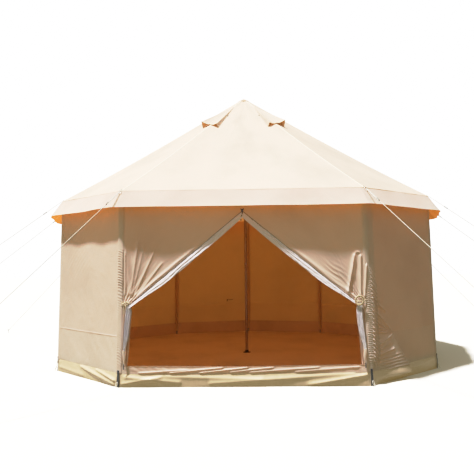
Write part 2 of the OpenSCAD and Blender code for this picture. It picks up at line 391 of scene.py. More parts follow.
def rampValue(tree, factor, stops):
    node = addNode(tree, "ValToRGB", {0: factor})
    ramp = node.color_ramp
    while len(ramp.elements) < len(stops):
        ramp.elements.new(0.5)
    for element, (place, tone) in zip(ramp.elements, stops):
        element.position = place
        element.color = tone
    return node.outputs[0]


def colour(r, g, b):
    return (r, g, b, 1.0)


def scaledTone(tone, factor):
    return colour(*[min(c * factor, 1.0) for c in tone[:3]])


black, white = colour(0, 0, 0), colour(1, 1, 1)
clothLook = {
    "threads": 230,
    "crease": 0.0022,
    "rough": 0.86,
    "sheen": 0.12,
    "mottling": 0.06,
    "gloss": 0.25,
    "weaveDepth": 0.0003,
    "slubTone": colour(0.9, 0.89, 0.87),
}


# cloth with slubs, a plain weave and soft wrinkles; share is how much of it lets light through
def clothMaterial(name, face, through, share, **changes):
    look = {**clothLook, **changes}
    material, tree = newMaterial(name)
    cloudy = noiseValue(tree, clothCoords(tree, 1.3, 1.3), 1.0, 3.0)
    slubs, crossSlubs = [maths(tree, "MULTIPLY", noiseValue(tree, clothCoords(tree, *scale), 1.0, 2.0), 0.5)
                         for scale in ((9, 420), (420, 9))]
    dark = scaledTone(face, 1 - look["mottling"] * 2.2)
    light = scaledTone(face, 1 + look["mottling"] * 0.6)
    base = rampValue(tree, cloudy, [(0.3, dark), (0.52, face), (0.75, light)])
    threads = maths(tree, "ADD", slubs, crossSlubs)
    threads = rampValue(tree, threads, [(0.3, look["slubTone"]), (0.62, white)])
    base = mixTwo(tree, 1.0, base, threads, "MULTIPLY")
    wrinkles = noiseValue(tree, clothCoords(tree, 5, 3.4), 1.0, 5.0, 0.5, 1.6)
    warp, weft = [waveValue(tree, clothCoords(tree, look["threads"], look["threads"]), 0.6, way)
                  for way in ("X", "Y")]
    weave = maths(tree, "MAXIMUM", warp, weft)
    relief = bumpNormal(tree, wrinkles, look["crease"] * 4, 0.5)
    relief = bumpNormal(tree, weave, look["weaveDepth"], 0.35, Normal=relief)
    skin = addNode(tree, "BsdfPrincipled", {
        "Base Color": base, "Roughness": look["rough"], "Normal": relief,
        "Sheen Weight": look["sheen"], "Sheen Roughness": 0.6, "Specular IOR Level": look["gloss"]})
    glow = addNode(tree, "BsdfTranslucent", {"Color": through, "Normal": relief})
    output(tree, addNode(tree, "MixShader", {0: share, 1: skin.outputs[0], 2: glow.outputs[0]}))
    return material


# smooth hard finishes: paint, steel, plastic
def hardMaterial(name, face, worn, rough, metal, grain, coat=0.0, stretch=(1, 1, 1)):
    material, tree = newMaterial(name)
    vector = ownCoords(tree, stretch)
    patches = noiseValue(tree, vector, grain, 6.0, 0.6)
    scuffs = noiseValue(tree, vector, grain * 7, 3.0)
    roughness = addNode(tree, "MapRange", {"Value": scuffs, "From Min": 0.3, "From Max": 0.7,
                        "To Min": rough * 0.8, "To Max": min(rough * 1.3, 1.0)}).outputs[0]
    output(tree, addNode(tree, "BsdfPrincipled", {
        "Base Color": rampValue(tree, patches, [(0.42, face), (0.72, worn)]), "Roughness": roughness,
        "Metallic": metal, "Coat Weight": coat, "Normal": bumpNormal(tree, scuffs, 0.0002, 0.4)}))
    return material


# webbing, cord and zip tape: ribs across the cloth map
def ribbedMaterial(name, face, dark, ribs, slant=0.0):
    material, tree = newMaterial(name)
    coords = addNode(tree, "UVMap", uv_map="cloth").outputs[0]
    wave = waveValue(tree, mapped(tree, coords, Rotation=(0, 0, slant), Scale=(ribs, ribs, 1)), 0.4, "Y")
    fluff = noiseValue(tree, clothCoords(tree, 90, 90), 1.0, 4.0)
    base = mixTwo(tree, rampValue(tree, wave, [(0.1, black), (0.6, white)]), dark, face)
    base = mixTwo(tree, maths(tree, "MULTIPLY", fluff, 0.35), base, dark)
    output(tree, addNode(tree, "BsdfPrincipled", {
        "Base Color": base, "Roughness": 0.7, "Normal": bumpNormal(tree, wave, 0.0006, 0.7),
        "Sheen Weight": 0.1}))
    return material


tones = {
    "wallFace": colour(0.90, 0.85, 0.83),
    "roofFace": colour(0.95, 0.90, 0.82),
    "roofEdge": colour(1.0, 0.97, 0.92),
    "lowFace": colour(0.85, 0.785, 0.75),
    # the inside faces: the canvas's own cream, painted darker and oranger as painted glow of the warm light
    # that comes through the walls and roof
    "inside": colour(0.86, 0.69, 0.56),
    "through": colour(0.98, 0.66, 0.33),
    "glow": colour(1.0, 0.60, 0.25),
    "coatGlow": colour(0.8, 0.5, 0.2),
    "share": 0.40,
}
wallOut = clothMaterial("wallCanvasOutside", tones["wallFace"], tones["through"], tones["share"])
# the inside faces of walls, roof and valance carry that painted glow in their colour
wallInGlow = clothMaterial("wallCanvasInsidePaintedGlow", tones["inside"], tones["through"], tones["share"])
lowOut = clothMaterial("lowWallCanvas", tones["lowFace"], tones["through"], tones["share"] * 0.8)
roofOut = clothMaterial("roofCanvasOutside", tones["roofFace"], tones["through"], tones["share"])
roofInGlow = clothMaterial("roofCanvasInsidePaintedGlow", tones["inside"], tones["through"], tones["share"])
valanceOut = clothMaterial("valanceCanvasOutside", tones["roofEdge"], tones["glow"], 0.45)
valanceInGlow = clothMaterial("valanceCanvasInsidePaintedGlow", tones["inside"], tones["glow"], 0.72)
bandOut = clothMaterial("coatedBandOutside", colour(0.75, 0.61, 0.445), tones["coatGlow"], 0.08,
                        threads=160, crease=0.003, rough=0.48, sheen=0.0, gloss=0.5)
# the band's inside face: its own coated tone, painted darker and oranger as painted glow of the warm light
# inside the tent
bandInGlow = clothMaterial("coatedBandInsidePaintedGlow", colour(0.70, 0.48, 0.32), tones["coatGlow"], 0.08,
                       threads=160, rough=0.5)
# the groundsheet: its own khaki coated cloth, painted red-brown as painted glow of the warm light inside
# the tent
floorClothAndGlow = clothMaterial("groundsheetClothAndGlow", colour(0.69, 0.49, 0.38), colour(0.3, 0.15, 0.05), 0.02,
                           threads=140, crease=0.004, rough=0.55, sheen=0.0, mottling=0.08, gloss=0.4)
netWhite = clothMaterial("whiteNet", colour(0.92, 0.89, 1.0), colour(0.95, 0.93, 1.0), 0.28,
                         threads=420, crease=0.0035, rough=0.8, mottling=0.03)
netDark = clothMaterial("darkNet", colour(0.07, 0.06, 0.05), colour(0.3, 0.2, 0.12), 0.2,
                        threads=300, rough=0.9)
seamOut = ribbedMaterial("sewnSeam", colour(0.88, 0.79, 0.67), colour(0.70, 0.60, 0.47), 40)
webbing = ribbedMaterial("blackWebbing", colour(0.035, 0.037, 0.04), colour(0.012, 0.012, 0.014), 90)
zipTape = ribbedMaterial("zipTape", colour(0.50, 0.42, 0.36), colour(0.26, 0.21, 0.18), 130)
cordMaterial = ribbedMaterial("whiteCord", colour(0.90, 0.88, 0.84), colour(0.62, 0.59, 0.55), 28, 0.6)
tieMaterial = ribbedMaterial("tieCord", colour(0.86, 0.74, 0.58), colour(0.56, 0.44, 0.30), 40, 0.6)
polePaint = hardMaterial("polePaint", colour(0.30, 0.17, 0.105), colour(0.38, 0.24, 0.16), 0.45, 0.1,
                         22, 0.15, (1, 1, 0.15))
steelBright = hardMaterial("brightSteel", colour(0.62, 0.62, 0.60), colour(0.45, 0.44, 0.42),
                           0.28, 1.0, 90)
steelDull = hardMaterial("galvanisedSteel", colour(0.46, 0.47, 0.47), colour(0.30, 0.30, 0.29),
                         0.45, 0.9, 140)
plasticBlack = hardMaterial("blackPlastic", colour(0.02, 0.02, 0.022), colour(0.045, 0.045, 0.05),
                            0.42, 0.0, 150)
rubberDark = hardMaterial("darkRubber", colour(0.025, 0.022, 0.02), colour(0.05, 0.045, 0.04),
                          0.75, 0.0, 120)
print("materials made")


# ---- the roof: one sheet over all eleven bays, sewn along its hips ----

roof = {
    "hipSag": 0.034,
    "panelSag": 0.016,
    "pulls": 0.0016,
    "holeRadius": 0.022,
    "rows": 54,
    "baySteps": 20,
    "frontSteps": 40,
    "seamWidth": 0.022,
    "seamCanvas": 0.0012,
    "seamRise": 0.0016,
    "slope": 1.18,  # length along the cloth for each unit of level distance
}
vents = {
    "corners": (0, 4, 6, 10),
    "start": 0.28,
    "end": 0.82,
    "tipHalf": 0.012,
    "mouthHalf": 0.126,
    "outerProp": 0.086,
    "innerProp": 0.050,
    "propAt": 0.86,
    "canvas": 0.0022,
    "hem": 0.0040,
    "holeFrom": 0.508,
    "holeTo": 0.747,
    "holeInner": 0.014,
    "holeOuter": 0.066,
    "netDrop": 0.006,
    "netLap": 0.015,
    "rise": 0.0030,
    "softness": 0.0025,
}
hipFall = (apexHeight - eaveHeight) / eaveRadius


def roofSurface(bay, u, r, out=0.0):
    u, r, out = arrays(u, r, out)
    share = np.clip(r / eaveRadius, 0, 1)
    hang = (share ** 1.4) * (1 - share) * 3.4
    middle = 1 - (2 * u - 1) ** 2
    z = apexHeight - hipFall * r - hang * (roof["hipSag"] + roof["panelSag"] * middle)
    seed = bay * 3.7
    z = z + 0.0035 * middle * softNoise(u * 4, r * 3.2, seed)
    z = z + 0.0012 * middle * softNoise(u * 11, r * 8, seed + 1)
    # faint pulls that fan down from the hips to the eave
    fan = np.sin((u - 0.5) * 34 + 2.2 * softNoise(u * 3, r * 2, seed + 2))
    z = z + roof["pulls"] * middle * share * fan
    return acrossBay(bay, r, u) + (z + out)[..., None] * upAxis


def bayTurn(bay):
    return tent["cornerStep"] * (2 if bay % tent["corners"] == frontBay else 1)


# a point of the roof at a distance along a hip and a level distance to one side of it
def besideHip(corner, along, side, out=0.0):
    along, side, out = arrays(along, side, out)
    points = np.zeros(along.shape + (3,))
    for bay, sign in ((corner, 1), ((corner - 1) % tent["corners"], -1)):
        turn = bayTurn(bay)
        r = along + np.abs(side) * math.tan(turn / 2)
        u = np.abs(side) / math.sin(turn) / r
        found = roofSurface(bay, u if sign > 0 else 1 - u, r, out)
        points = np.where((side * sign >= 0)[..., None], found, points)
    return points


def inVentHole(bay, u, r):
    hole = np.zeros(np.broadcast(u, r).shape, bool)
    turn = bayTurn(bay)
    for corner, share in ((bay, u), ((bay + 1) % tent["corners"], 1 - u)):
        if corner in vents["corners"]:
            side = r * share * math.sin(turn)
            along = r * (1 - share * (1 - math.cos(turn)))
            hole |= ((along > vents["holeFrom"]) & (along < vents["holeTo"])
                     & (side > vents["holeInner"]) & (side < vents["holeOuter"]))
    return hole


# one cloth all round the tent: strip gives each bay's layers, of which the first two are points and map
def ringCloth(strip):
    return [np.concatenate(layer) for layer in zip(*[strip(bay) for bay in bays])]


def roofStrip(bay):
    distances = runs(roof["holeRadius"], (vents["holeFrom"], 14), (vents["holeTo"], 9),
                     (eaveRadius, roof["rows"]))
    count = roof["frontSteps"] if bay == frontBay else roof["baySteps"]
    # the steps are finer beside the hips
    steps = (1 - np.cos(np.linspace(0, math.pi, count + 1))) / 2
    u, r = gridOf(steps[:-1], distances[::-1])
    middle = (steps[:-1] + steps[1:])[:, None] / 2
    down = (distances[::-1][:-1] + distances[::-1][1:])[None] / 2
    flat = flatMap(bayStart(bay) + u * bayWidth(bay), (eaveRadius - r) * roof["slope"])
    return roofSurface(bay, u, r), flat, ~inVentHole(bay, middle, down)


def roofCloth():
    points, flat, keep = ringCloth(roofStrip)
    cover = makePiece("roofCover", clothParts(points, flat, tent["canvas"], keep, wrap=True), "roof_canvas",
                      [roofOut, roofInGlow], *["roof_panel_%d" % (k + 1) for k in bays])


def roofSeams():
    parts = []
    for corner in bays:
        side, r = gridOf(np.linspace(-1, 1, 7), np.linspace(0.07, eaveRadius - 0.004, 60)[::-1])
        lift = roof["seamRise"] * (1 - side ** 6) + 0.0006
        inBay = np.clip(np.abs(side) * roof["seamWidth"] / 2 / np.maximum(r, 0.05), 0, 0.45)
        leftBay = (corner - 1) % tent["corners"]
        a = roofSurface(leftBay, 1 - inBay / (2 if leftBay == frontBay else 1) * 1.93, r, lift)
        b = roofSurface(corner, inBay / (2 if corner == frontBay else 1) * 1.93, r, lift)
        flat = flatMap(side * roof["seamWidth"] / 2, r * roof["slope"])
        parts.append(clothParts(np.where((side < 0)[..., None], a, b), flat, roof["seamCanvas"]))
    seams = makePiece("roofSeams", parts, "roof_canvas", [seamOut, seamOut])


roofCloth()
roofSeams()
print("roof made")


# ---- the cap over the point of the roof ----

cap = {"radius": 0.078, "rise": 0.004, "stitchRing": 0.064, "canvas": 0.003, "puckers": 11}


def roofCap():
    turn, reach = gridOf(fullTurn(72), np.linspace(0.0008, cap["radius"], 22)[::-1])
    knob = 0.0007 * bell(reach, 0.0, 0.014)
    pucker = 0.0009 * np.sin(turn * cap["puckers"]) * smooth(0.02, cap["radius"], reach)
    stitches = 0.0018 * bell(reach, cap["stitchRing"], 0.002)
    z = apexHeight - hipFall * reach * 0.985 + cap["rise"] + pucker - knob - stitches
    points = np.stack([reach * np.sin(turn), -reach * np.cos(turn), z], -1)
    parts = clothParts(points, flatMap(turn * 0.06, reach), cap["canvas"], wrap=True)
    piece = makePiece("apexCover", parts, "roof_canvas", [roofOut, roofInGlow], "apex_cap")


roofCap()


# ---- vent hoods over four hips: the mouth is propped at its two outer corners and sags between them ----


def ventHood(number, corner):
    normal = unit(hipFall * cornerDirection(corner) + upAxis)
    # the side of the hood that is further from the front or the back is propped higher
    outerSide = 1 if corner in (0, 6) else -1
    propAt = vents["propAt"]
    w, t = gridOf(runs(-1, (-propAt, 10), (propAt, 51), (1, 10)), np.linspace(1, 0, 44))
    half = vents["tipHalf"] + (vents["mouthHalf"] - vents["tipHalf"]) * t
    along = vents["start"] + (vents["end"] - vents["start"]) * t
    prop = np.where(w * outerSide > 0, vents["outerProp"], vents["innerProp"])
    leaf = 0.12 + 0.88 * np.clip(np.abs(w) / propAt, 0, 1) ** (1.1 + 0.5 * t ** 2)
    cheek = smooth(1.0, propAt - 0.01, np.abs(w))
    height = prop * t ** 1.1 * leaf * cheek + vents["rise"]
    height = height + vents["softness"] * softNoise(w * 3 + 5, t * 5, corner + 9) * t * cheek
    tuck = 1 - 0.05 * (1 - cheek) * t
    points = besideHip(corner, along, w * half * tuck) + normal * height[..., None]
    flat = flatMap(w * half, t * (vents["end"] - vents["start"]))
    piece = makePiece("ventHood_%d" % number, clothParts(points, flat, vents["canvas"]), "roof_canvas",
                      [roofOut, roofInGlow], *(["vent_hoods"] if number == 1 else []), smoothAngle=50)
    # the folded hem along the mouth
    hem = sweptParts(points[:, 0] + normal * 0.0004, vents["hem"], 8)
    makePiece("ventHem_%d" % number, hem, "roof_canvas", [seamOut])


def ventNets():
    parts, lap = [], vents["netLap"]
    for corner in vents["corners"]:
        for sign in (-1, 1):
            side = np.linspace(vents["holeInner"] - 0.008, vents["holeOuter"] + 0.012, 8) * sign
            along = np.linspace(vents["holeFrom"] - lap, vents["holeTo"] + lap, 12)
            across, down = gridOf(side[::sign], along[::-1])
            points = besideHip(corner, down, across, -vents["netDrop"])
            parts.append(clothParts(points, flatMap(across, down), 0.001))
    piece = makePiece("ventScreens", parts, "dark_net", [netDark, netDark], "vent_nets")


for number, corner in enumerate(vents["corners"]):
    ventHood(number + 1, corner)
ventNets()
print("vents made")


# ---- the valance: a strip that flares from the eave, mitred at each corner ----

valance = {
    "rows": 16,
    "steps": 30,
    "frontSteps": 60,
    "flutter": 0.006,
    "waves": 5,
    "frontWaves": 9,
    "dip": 0.006,
    "cornerEase": 0.016,
    "cornerReach": 0.07,
    "slant": 0.22,
    "hemFrom": 0.93,
    "hemStep": 0.0012,
}


def valanceStrip(bay):
    start, far = eaveRadius - 0.006, valanceRadius - 0.004
    topZ, lowZ = eaveHeight + 0.004, valanceBottom + 0.010
    width, front = bayWidth(bay), bay == frontBay
    count = valance["frontSteps"] if front else valance["steps"]
    u, t = gridOf(np.linspace(0, 1, count + 1)[:-1], np.linspace(0, 1, valance["rows"] + 1)[::-1])
    r = start + (far - start) * (0.86 * t + 0.14 * t ** 2)
    r = r - valance["cornerEase"] * t * bell(np.minimum(u, 1 - u) * width, 0, valance["cornerReach"])
    middle = 1 - (2 * u - 1) ** 2
    waves = valance["frontWaves"] if front else valance["waves"]
    out = valance["flutter"] * t * np.sin(u * math.pi * waves + bay) * middle ** 0.5
    out = out + valance["hemStep"] * (t > valance["hemFrom"])
    z = topZ + (lowZ - topZ) * (0.9 * t + 0.1 * t ** 2) - valance["dip"] * t * (middle - 0.5)
    z = z + 0.0025 * softNoise(u * 5, t * 2, bay)
    points = acrossBay(bay, r, u) + out[..., None] * bayNormal(bay) + z[..., None] * upAxis
    return points, flatMap(bayStart(bay) + u * width, -t * valance["slant"])


def valanceCloth():
    parts = clothParts(*ringCloth(valanceStrip), tent["canvas"], wrap=True)
    piece = makePiece("valanceStrip", parts, "roof_canvas", [valanceOut, valanceInGlow], "valance")


valanceCloth()
print("valance made")


# ---- walls ----

walls = {
    "bulge": 0.009,
    "seamRise": 0.0011,
    "seamWidth": 0.006,
    "seamPuckers": 0.0007,
    "cornerPull": 0.002,
    "pullReach": 0.42,
    "lowSoftness": 0.0016,
    "foot": mudTop + 0.0005,
    "head": wallTop,
    "mapStep": 1.31,  # keeps the bays' cloth maps apart
}


def wallRelief(bay, u, z):
    width = bayWidth(bay)
    x = u * width
    seam = tent["seamHeight"]
    middle = midBay(u)
    share = (z - walls["foot"]) / (walls["head"] - walls["foot"])
    d = walls["bulge"] * middle ** 0.8 * belly(share, 0.7)
    d = d + 0.0035 * middle * softNoise(x * 2.6, z * 1.9, bay * 5.1)
    d = d + 0.0012 * middle ** 0.5 * softNoise(x * 9, z * 6, bay + 31)
    # pulls from the two eave corners
    drop = walls["head"] - z
    for near in (x, width - x):
        reach = np.hypot(near, drop)
        pull = np.sin(np.arctan2(near, drop) * 16 + bay) * np.exp(-reach / walls["pullReach"])
        d = d + walls["cornerPull"] * pull * smooth(0.02, 0.12, reach)
    # small puckers that the seam draws in
    puckers = bell(z, seam, 0.05) * np.sin(x * 150 + 2 * softNoise(x * 8, z * 0, bay)) * (middle > 0.02)
    d = d + walls["seamPuckers"] * puckers
    d = d + walls["seamRise"] * smooth(walls["seamWidth"], walls["seamWidth"] * 0.5, np.abs(z - seam))
    soft = softNoise(x * 14 + z * 9, z * 5, bay + 7)
    return d + walls["lowSoftness"] * smooth(seam, seam - 0.01, z) * soft


# slack canvas on the bay to the right of the door: folds run in to one point near the seam,
# and below it a loose triangle bulges out over the band
slack = {
    "point": (0.387, 0.485),
    "patchFoot": 0.61,
    "from": 0.045,
    "bulge": 0.088,
    "bandBulge": 0.016,
    "levelFolds": 0.031,
    "levelRise": 0.0080,
    "folds": (
        ((0.115, 0.700), (0.387, 0.485), 0.0120, 0.024),
        ((0.115, 0.609), (0.387, 0.485), 0.0095, 0.018),
        ((0.115, 0.560), (0.387, 0.485), 0.0095, 0.018),
        ((0.115, 0.518), (0.387, 0.485), 0.0095, 0.016),
        ((0.110, 0.385), (0.387, 0.485), 0.0140, 0.022),
        ((0.105, 0.808), (0.279, 0.707), 0.0110, 0.020),
        ((0.100, 0.860), (0.190, 0.800), 0.0090, 0.014),
        ((0.110, 0.290), (0.375, 0.335), 0.0120, 0.014),
        ((0.110, 0.330), (0.330, 0.400), 0.0100, 0.011),
    ),
}


# how far down the loose triangle a height is, from 0 at its point, and where its slanting edge is there
def slackEdge(z):
    px, pz = slack["point"]
    fall = (pz - z) / (pz - mudTop)
    return fall, px + (slack["patchFoot"] - px) * fall


# the pulled cloth stands off the wall in a ramp that climbs from the sleeve to the slanting edge
def slackOut(x, z):
    fall, edge = slackEdge(np.clip(z, mudTop, slack["point"][1]))
    ramp = np.clip((x - slack["from"]) / (edge - slack["from"]), 0, 1)
    ramp = ramp * (1.25 - 0.25 * ramp) * smooth(edge + 0.008, edge - 0.030, x)
    onWall = slack["bulge"] * fall ** 0.75
    onBand = (slack["bulge"] + slack["bandBulge"] * smooth(mudTop, 0.08, z)) * smooth(0.0, 0.075, z)
    return ramp * np.where(z > mudTop, onWall, onBand)


def slackRelief(x, z):
    d = np.maximum.reduce([0 * x] + foldRises(x, z, slack["folds"]))
    edge = slackEdge(z)[1]
    inside = smooth(edge, edge - 0.04, x) * smooth(0.30, 0.26, z)
    level = pinch((z - 0.05 * x) / slack["levelFolds"] + 0.25 * softNoise(x * 9, z * 12, 71))
    return d + inside * slack["levelRise"] * level


# the two bays beside the front have finer grids, for their folds
def wallGrid(bay):
    foot, head = walls["foot"], walls["head"]
    if bay == 0:
        u = runs(0.001, (0.66, 122), (bayWidth(0) - 0.001, 26)) / bayWidth(0)
        z = runs(foot, (0.92, 132), (head, 60))
    else:
        across, up = (80, 112) if bay == tent["leftBay"] else (24, 46)
        u = np.linspace(0.0008, 0.9992, across + 1)
        z = np.linspace(foot, head, up + 1)
    seamLines = tent["seamHeight"] + np.array([-1.0, -0.55, 0.55, 1.0]) * walls["seamWidth"]
    return gridOf(u, np.unique(np.concatenate([z, seamLines])))


# slanting pulls across the left bay, and puckers low down beside its first corner
def leftBayRelief(u, x, z):
    slanted = bell(u, 0.34, 0.18) * bell(z, 1.28, 0.20)
    puckers = smooth(0.55, 0.1, u) * smooth(tent["seamHeight"], 0.42, z)
    return (slanted * 0.0026 * pinch((z * 0.85 - x * 0.75) / 0.052 + 0.4 * softNoise(x * 4, z * 4, 17))
            + puckers * 0.0022 * pinch((z - 0.12 * x) / 0.034 + 0.5 * softNoise(x * 6, z * 5, 19)))


def wallCloth(bay):
    u, z = wallGrid(bay)
    x = u * bayWidth(bay)
    d = wallRelief(bay, u, z)
    if bay == tent["leftBay"]:
        d = d + leftBayRelief(u, x, z)
    d = d * smooth(0, 0.02, u) * smooth(1, 0.98, u)
    if bay == 0:
        d = d + slackRelief(x, z) * smooth(0.0, 0.08, x) + slackOut(x, z)
    flat = flatMap(x + bay * walls["mapStep"], z)
    vertices, faces, flat, marks = clothParts(bayPoint(bay, u, z, d), flat, tent["canvas"])
    # the cloth below the seam has its own material
    heights = vertices[faces[:, 0], 2]
    marks = np.where((marks == 0) & (heights < tent["seamHeight"] - walls["seamWidth"]), 2, marks)
    piece = makePiece("wallCloth_%d" % (bay + 1), (vertices, faces, flat, marks), "wall_canvas",
                      [wallOut, wallInGlow, lowOut], "wall_panel_%d" % (bay + 1))


for bay in range(frontBay):
    wallCloth(bay)
print("walls made")


# ---- sleeves that hold the wall poles, folded round the outside of each corner ----

sleeves = {
    "reach": 0.042,
    "wideReach": 0.122,
    "rise": 0.005,
    "bend": 0.013,
    "puckerPeriod": 0.021,
    "puckerRise": 0.0055,
    "ladderPeriod": 0.041,
    "ladderSlant": 30,
    "ladderRise": 0.024,
    "foldAt": 0.100,
    "foldRise": 0.015,
    "gatherPeriod": 0.027,
    "gatherRise": 0.0066,
    "canvas": 0.0018,
    "grids": {0: (560, 35), 10: (300, 17)},
    "plainGrid": (40, 11),
}


# a point on the cloth that turns round a corner: across is measured along the walls from the corner
def cornerTurn(corner, across, z, out):
    b = cornerDirection(corner)
    along, onward = unit(b - cornerDirection(corner - 1)), unit(cornerDirection(corner + 1) - b)
    across = across[..., None]
    share = smooth(-sleeves["bend"], sleeves["bend"], across)
    normal = unit(np.cross(along, upAxis) * (1 - share) + np.cross(onward, upAxis) * share)
    side = np.where(across < 0, along * across, onward * across)
    off = out[..., None] - 0.006 * bell(across, 0, sleeves["bend"])
    return wallRadius(z)[..., None] * b + z[..., None] * upAxis + side + normal * off


# the sleeve right of the door stands out in a long fold: its near side is drawn into fine puckers,
# and a ladder of slanting creases crosses its far side
def ladderRelief(x, z):
    length = smooth(0.15, 0.30, z) * smooth(1.25, 0.85, z)
    at, edge = sleeves["foldAt"], sleeves["wideReach"]
    fold = np.where(x < at, smooth(-0.03, at, x), smooth(edge, at, x))
    puckers = pinch(z / sleeves["puckerPeriod"] + 0.5 * softNoise(x * 30, z * 9, 5) + x * 6)
    puckers = puckers * smooth(-0.030, -0.01, x) * smooth(0.040, 0.026, x)
    wander = 0.30 * softNoise(x * 12, z * 6, 8)
    steps = pinch(z / sleeves["ladderPeriod"] + x * sleeves["ladderSlant"] + wander)
    steps = steps * smooth(0.022, 0.042, x) * smooth(edge, edge - 0.010, x)
    creases = sleeves["puckerRise"] * puckers + sleeves["ladderRise"] * steps
    return length * (sleeves["foldRise"] * fold + creases)


# the sleeve left of the door is gathered in three stretches
def gatherRelief(x, z):
    gathers = pinch(z / sleeves["gatherPeriod"] + x * 14 + 0.9 * softNoise(x * 16, z * 8, 3))
    high = smooth(0.95, 1.08, z) * smooth(1.40, 1.34, z)
    low = smooth(0.62, 0.8, z) * smooth(1.1, 1.0, z) + 1.2 * smooth(0.18, 0.24, z) * smooth(0.62, 0.30, z)
    return sleeves["gatherRise"] * (high + 0.6 * low) * gathers * smooth(0.036, 0.022, np.abs(x - 0.006))


def cornerSleeve(corner):
    low, high = walls["foot"] + 0.002, walls["head"] - 0.004
    right = sleeves["wideReach"] if corner == 0 else sleeves["reach"]
    rows, columns = sleeves["grids"].get(corner, sleeves["plainGrid"])
    x, z = gridOf(np.linspace(-sleeves["reach"], right, columns), np.linspace(low, high, rows))
    crown = smooth(0.0, 0.016, np.minimum(x + sleeves["reach"], right - x))
    d = 0.0012 + sleeves["rise"] * crown + 0.0008 * crown * softNoise(x * 40, z * 18, corner + 60)
    if corner == 0:
        d = d + ladderRelief(x, z) * crown + slackOut(x, z)
    if corner == frontBay:
        d = d + gatherRelief(x, z)
    parts = clothParts(cornerTurn(corner, x, z, d), flatMap(x + corner * 0.3, z), sleeves["canvas"])
    piece = makePiece("cornerSleeve_%d" % (corner + 1), parts, "wall_canvas", [wallOut, wallInGlow],
                      smoothAngle=80)


for corner in bays:
    cornerSleeve(corner)
print("corner sleeves made")


# ---- the coated band round the foot, with its slack folds ----

band = {
    "foot": 0.0015,
    "head": mudTop - 0.0005,
    "rows": 18,
    "canvas": 0.0016,
    "frontFolds": (
        ((0.62, 0.015), (1.24, 0.120), 0.020, 0.022),
        ((-0.35, 0.035), (1.10, 0.128), 0.024, 0.014),
        ((-1.20, 0.105), (-0.62, 0.045), 0.022, 0.014),
        ((-1.24, 0.030), (-0.80, 0.105), 0.018, 0.016),
        ((-0.80, 0.105), (0.20, 0.075), 0.022, 0.010),
    ),
    "leftFolds": (
        ((0.52, 0.128), (1.24, 0.020), 0.018, 0.020),
        ((0.86, 0.130), (1.26, 0.060), 0.014, 0.018),
        ((0.05, 0.060), (0.62, 0.028), 0.020, 0.008),
    ),
}


def bandRelief(bay, x, z):
    width = bayWidth(bay)
    fullness = belly(z / mudTop, 0.6)
    if bay == frontBay:
        folds = sum(foldRises(x - width / 2, z, band["frontFolds"]))
    elif bay == tent["leftBay"]:
        folds = sum(foldRises(x, z, band["leftFolds"]))
    elif bay == 0:
        folds = 0.006 * pinch((z - x * 0.1) / 0.09) * smooth(0.6, 0.8, x)
    else:
        slant = 0.14 if bay % 2 else -0.11
        folds = 0.010 * pinch((z + (x - 0.4) * slant) / 0.10 + bay * 0.37)
    d = fullness * (0.005 + 0.004 * softNoise(x * 3.1, z * 8, bay + 12) + folds)
    d = d * smooth(0, 0.06, x) * smooth(width, width - 0.06, x)
    return d + slackOut(x, z) if bay == 0 else d


def bandCloth():
    parts = []
    for bay in bays:
        width = bayWidth(bay)
        count = 190 if bay == frontBay else 90 if bay in (0, tent["leftBay"]) else 48
        x, z = gridOf(np.linspace(0.0008, width - 0.0008, count + 1),
                      np.linspace(band["foot"], band["head"], band["rows"]))
        points = bayPoint(bay, x / width, z, bandRelief(bay, x, z))
        parts.append(clothParts(points, flatMap(x + bay * walls["mapStep"], z), band["canvas"]))
    piece = makePiece("coatedBand", parts, "coated_band", [bandOut, bandInGlow], "mud_wall")


bandCloth()
print("band made")


# ---- the sill across the doorway ----

sill = {
    "steps": 260,
    "rows": 22,
    "sag": 0.010,
    "wave": 0.007,
    "folds": (
        ((-1.05, 0.140), (-0.55, 0.170), 0.008, 0.008),
        ((-0.75, 0.140), (-0.20, 0.190), 0.008, 0.010),
        ((-0.45, 0.140), (0.05, 0.190), 0.007, 0.010),
        ((-0.15, 0.145), (0.30, 0.190), 0.008, 0.009),
        ((0.05, 0.142), (0.75, 0.188), 0.010, 0.008),
        ((0.50, 0.145), (1.15, 0.190), 0.012, 0.007),
    ),
}


def sillCloth():
    half = frontHalf(sillTop) - 0.004
    x, t = gridOf(np.linspace(-half, half, sill["steps"] + 1), np.linspace(0, 1, sill["rows"] + 1))
    slackness = np.cos(np.pi * x / (2 * half))
    low = mudTop - 0.008 + sill["wave"] * np.sin(x * 4.1 + 0.5) * slackness
    z = low + (sillTop - sill["sag"] * slackness ** 2 - low) * t
    fullness = np.sin(np.pi * np.clip(t, 0.02, 1) * 0.9) ** 0.7
    d = 0.004 + 0.0018 * softNoise(x * 13 + z * 20, z * 30, 4) * fullness
    d = d + sum(foldRises(x, z, sill["folds"]))
    puckers = smooth(-0.55, -0.85, x) * smooth(0.25, 0.6, t)
    d = d + 0.0030 * puckers * pinch((x + (z - sillTop) * 0.8) / 0.075) + 0.003 * smooth(0.90, 0.97, t)
    d = d * smooth(half, half - 0.07, np.abs(x)) + 0.0005
    parts = clothParts(frontPoint(x, z, d), flatMap(x, z), tent["canvas"])
    piece = makePiece("sillStrip", parts, "wall_canvas", [wallOut, wallInGlow], "door_sill")


sillCloth()
print("sill made")


# ---- the two halves of the door, drawn back to their ties ----

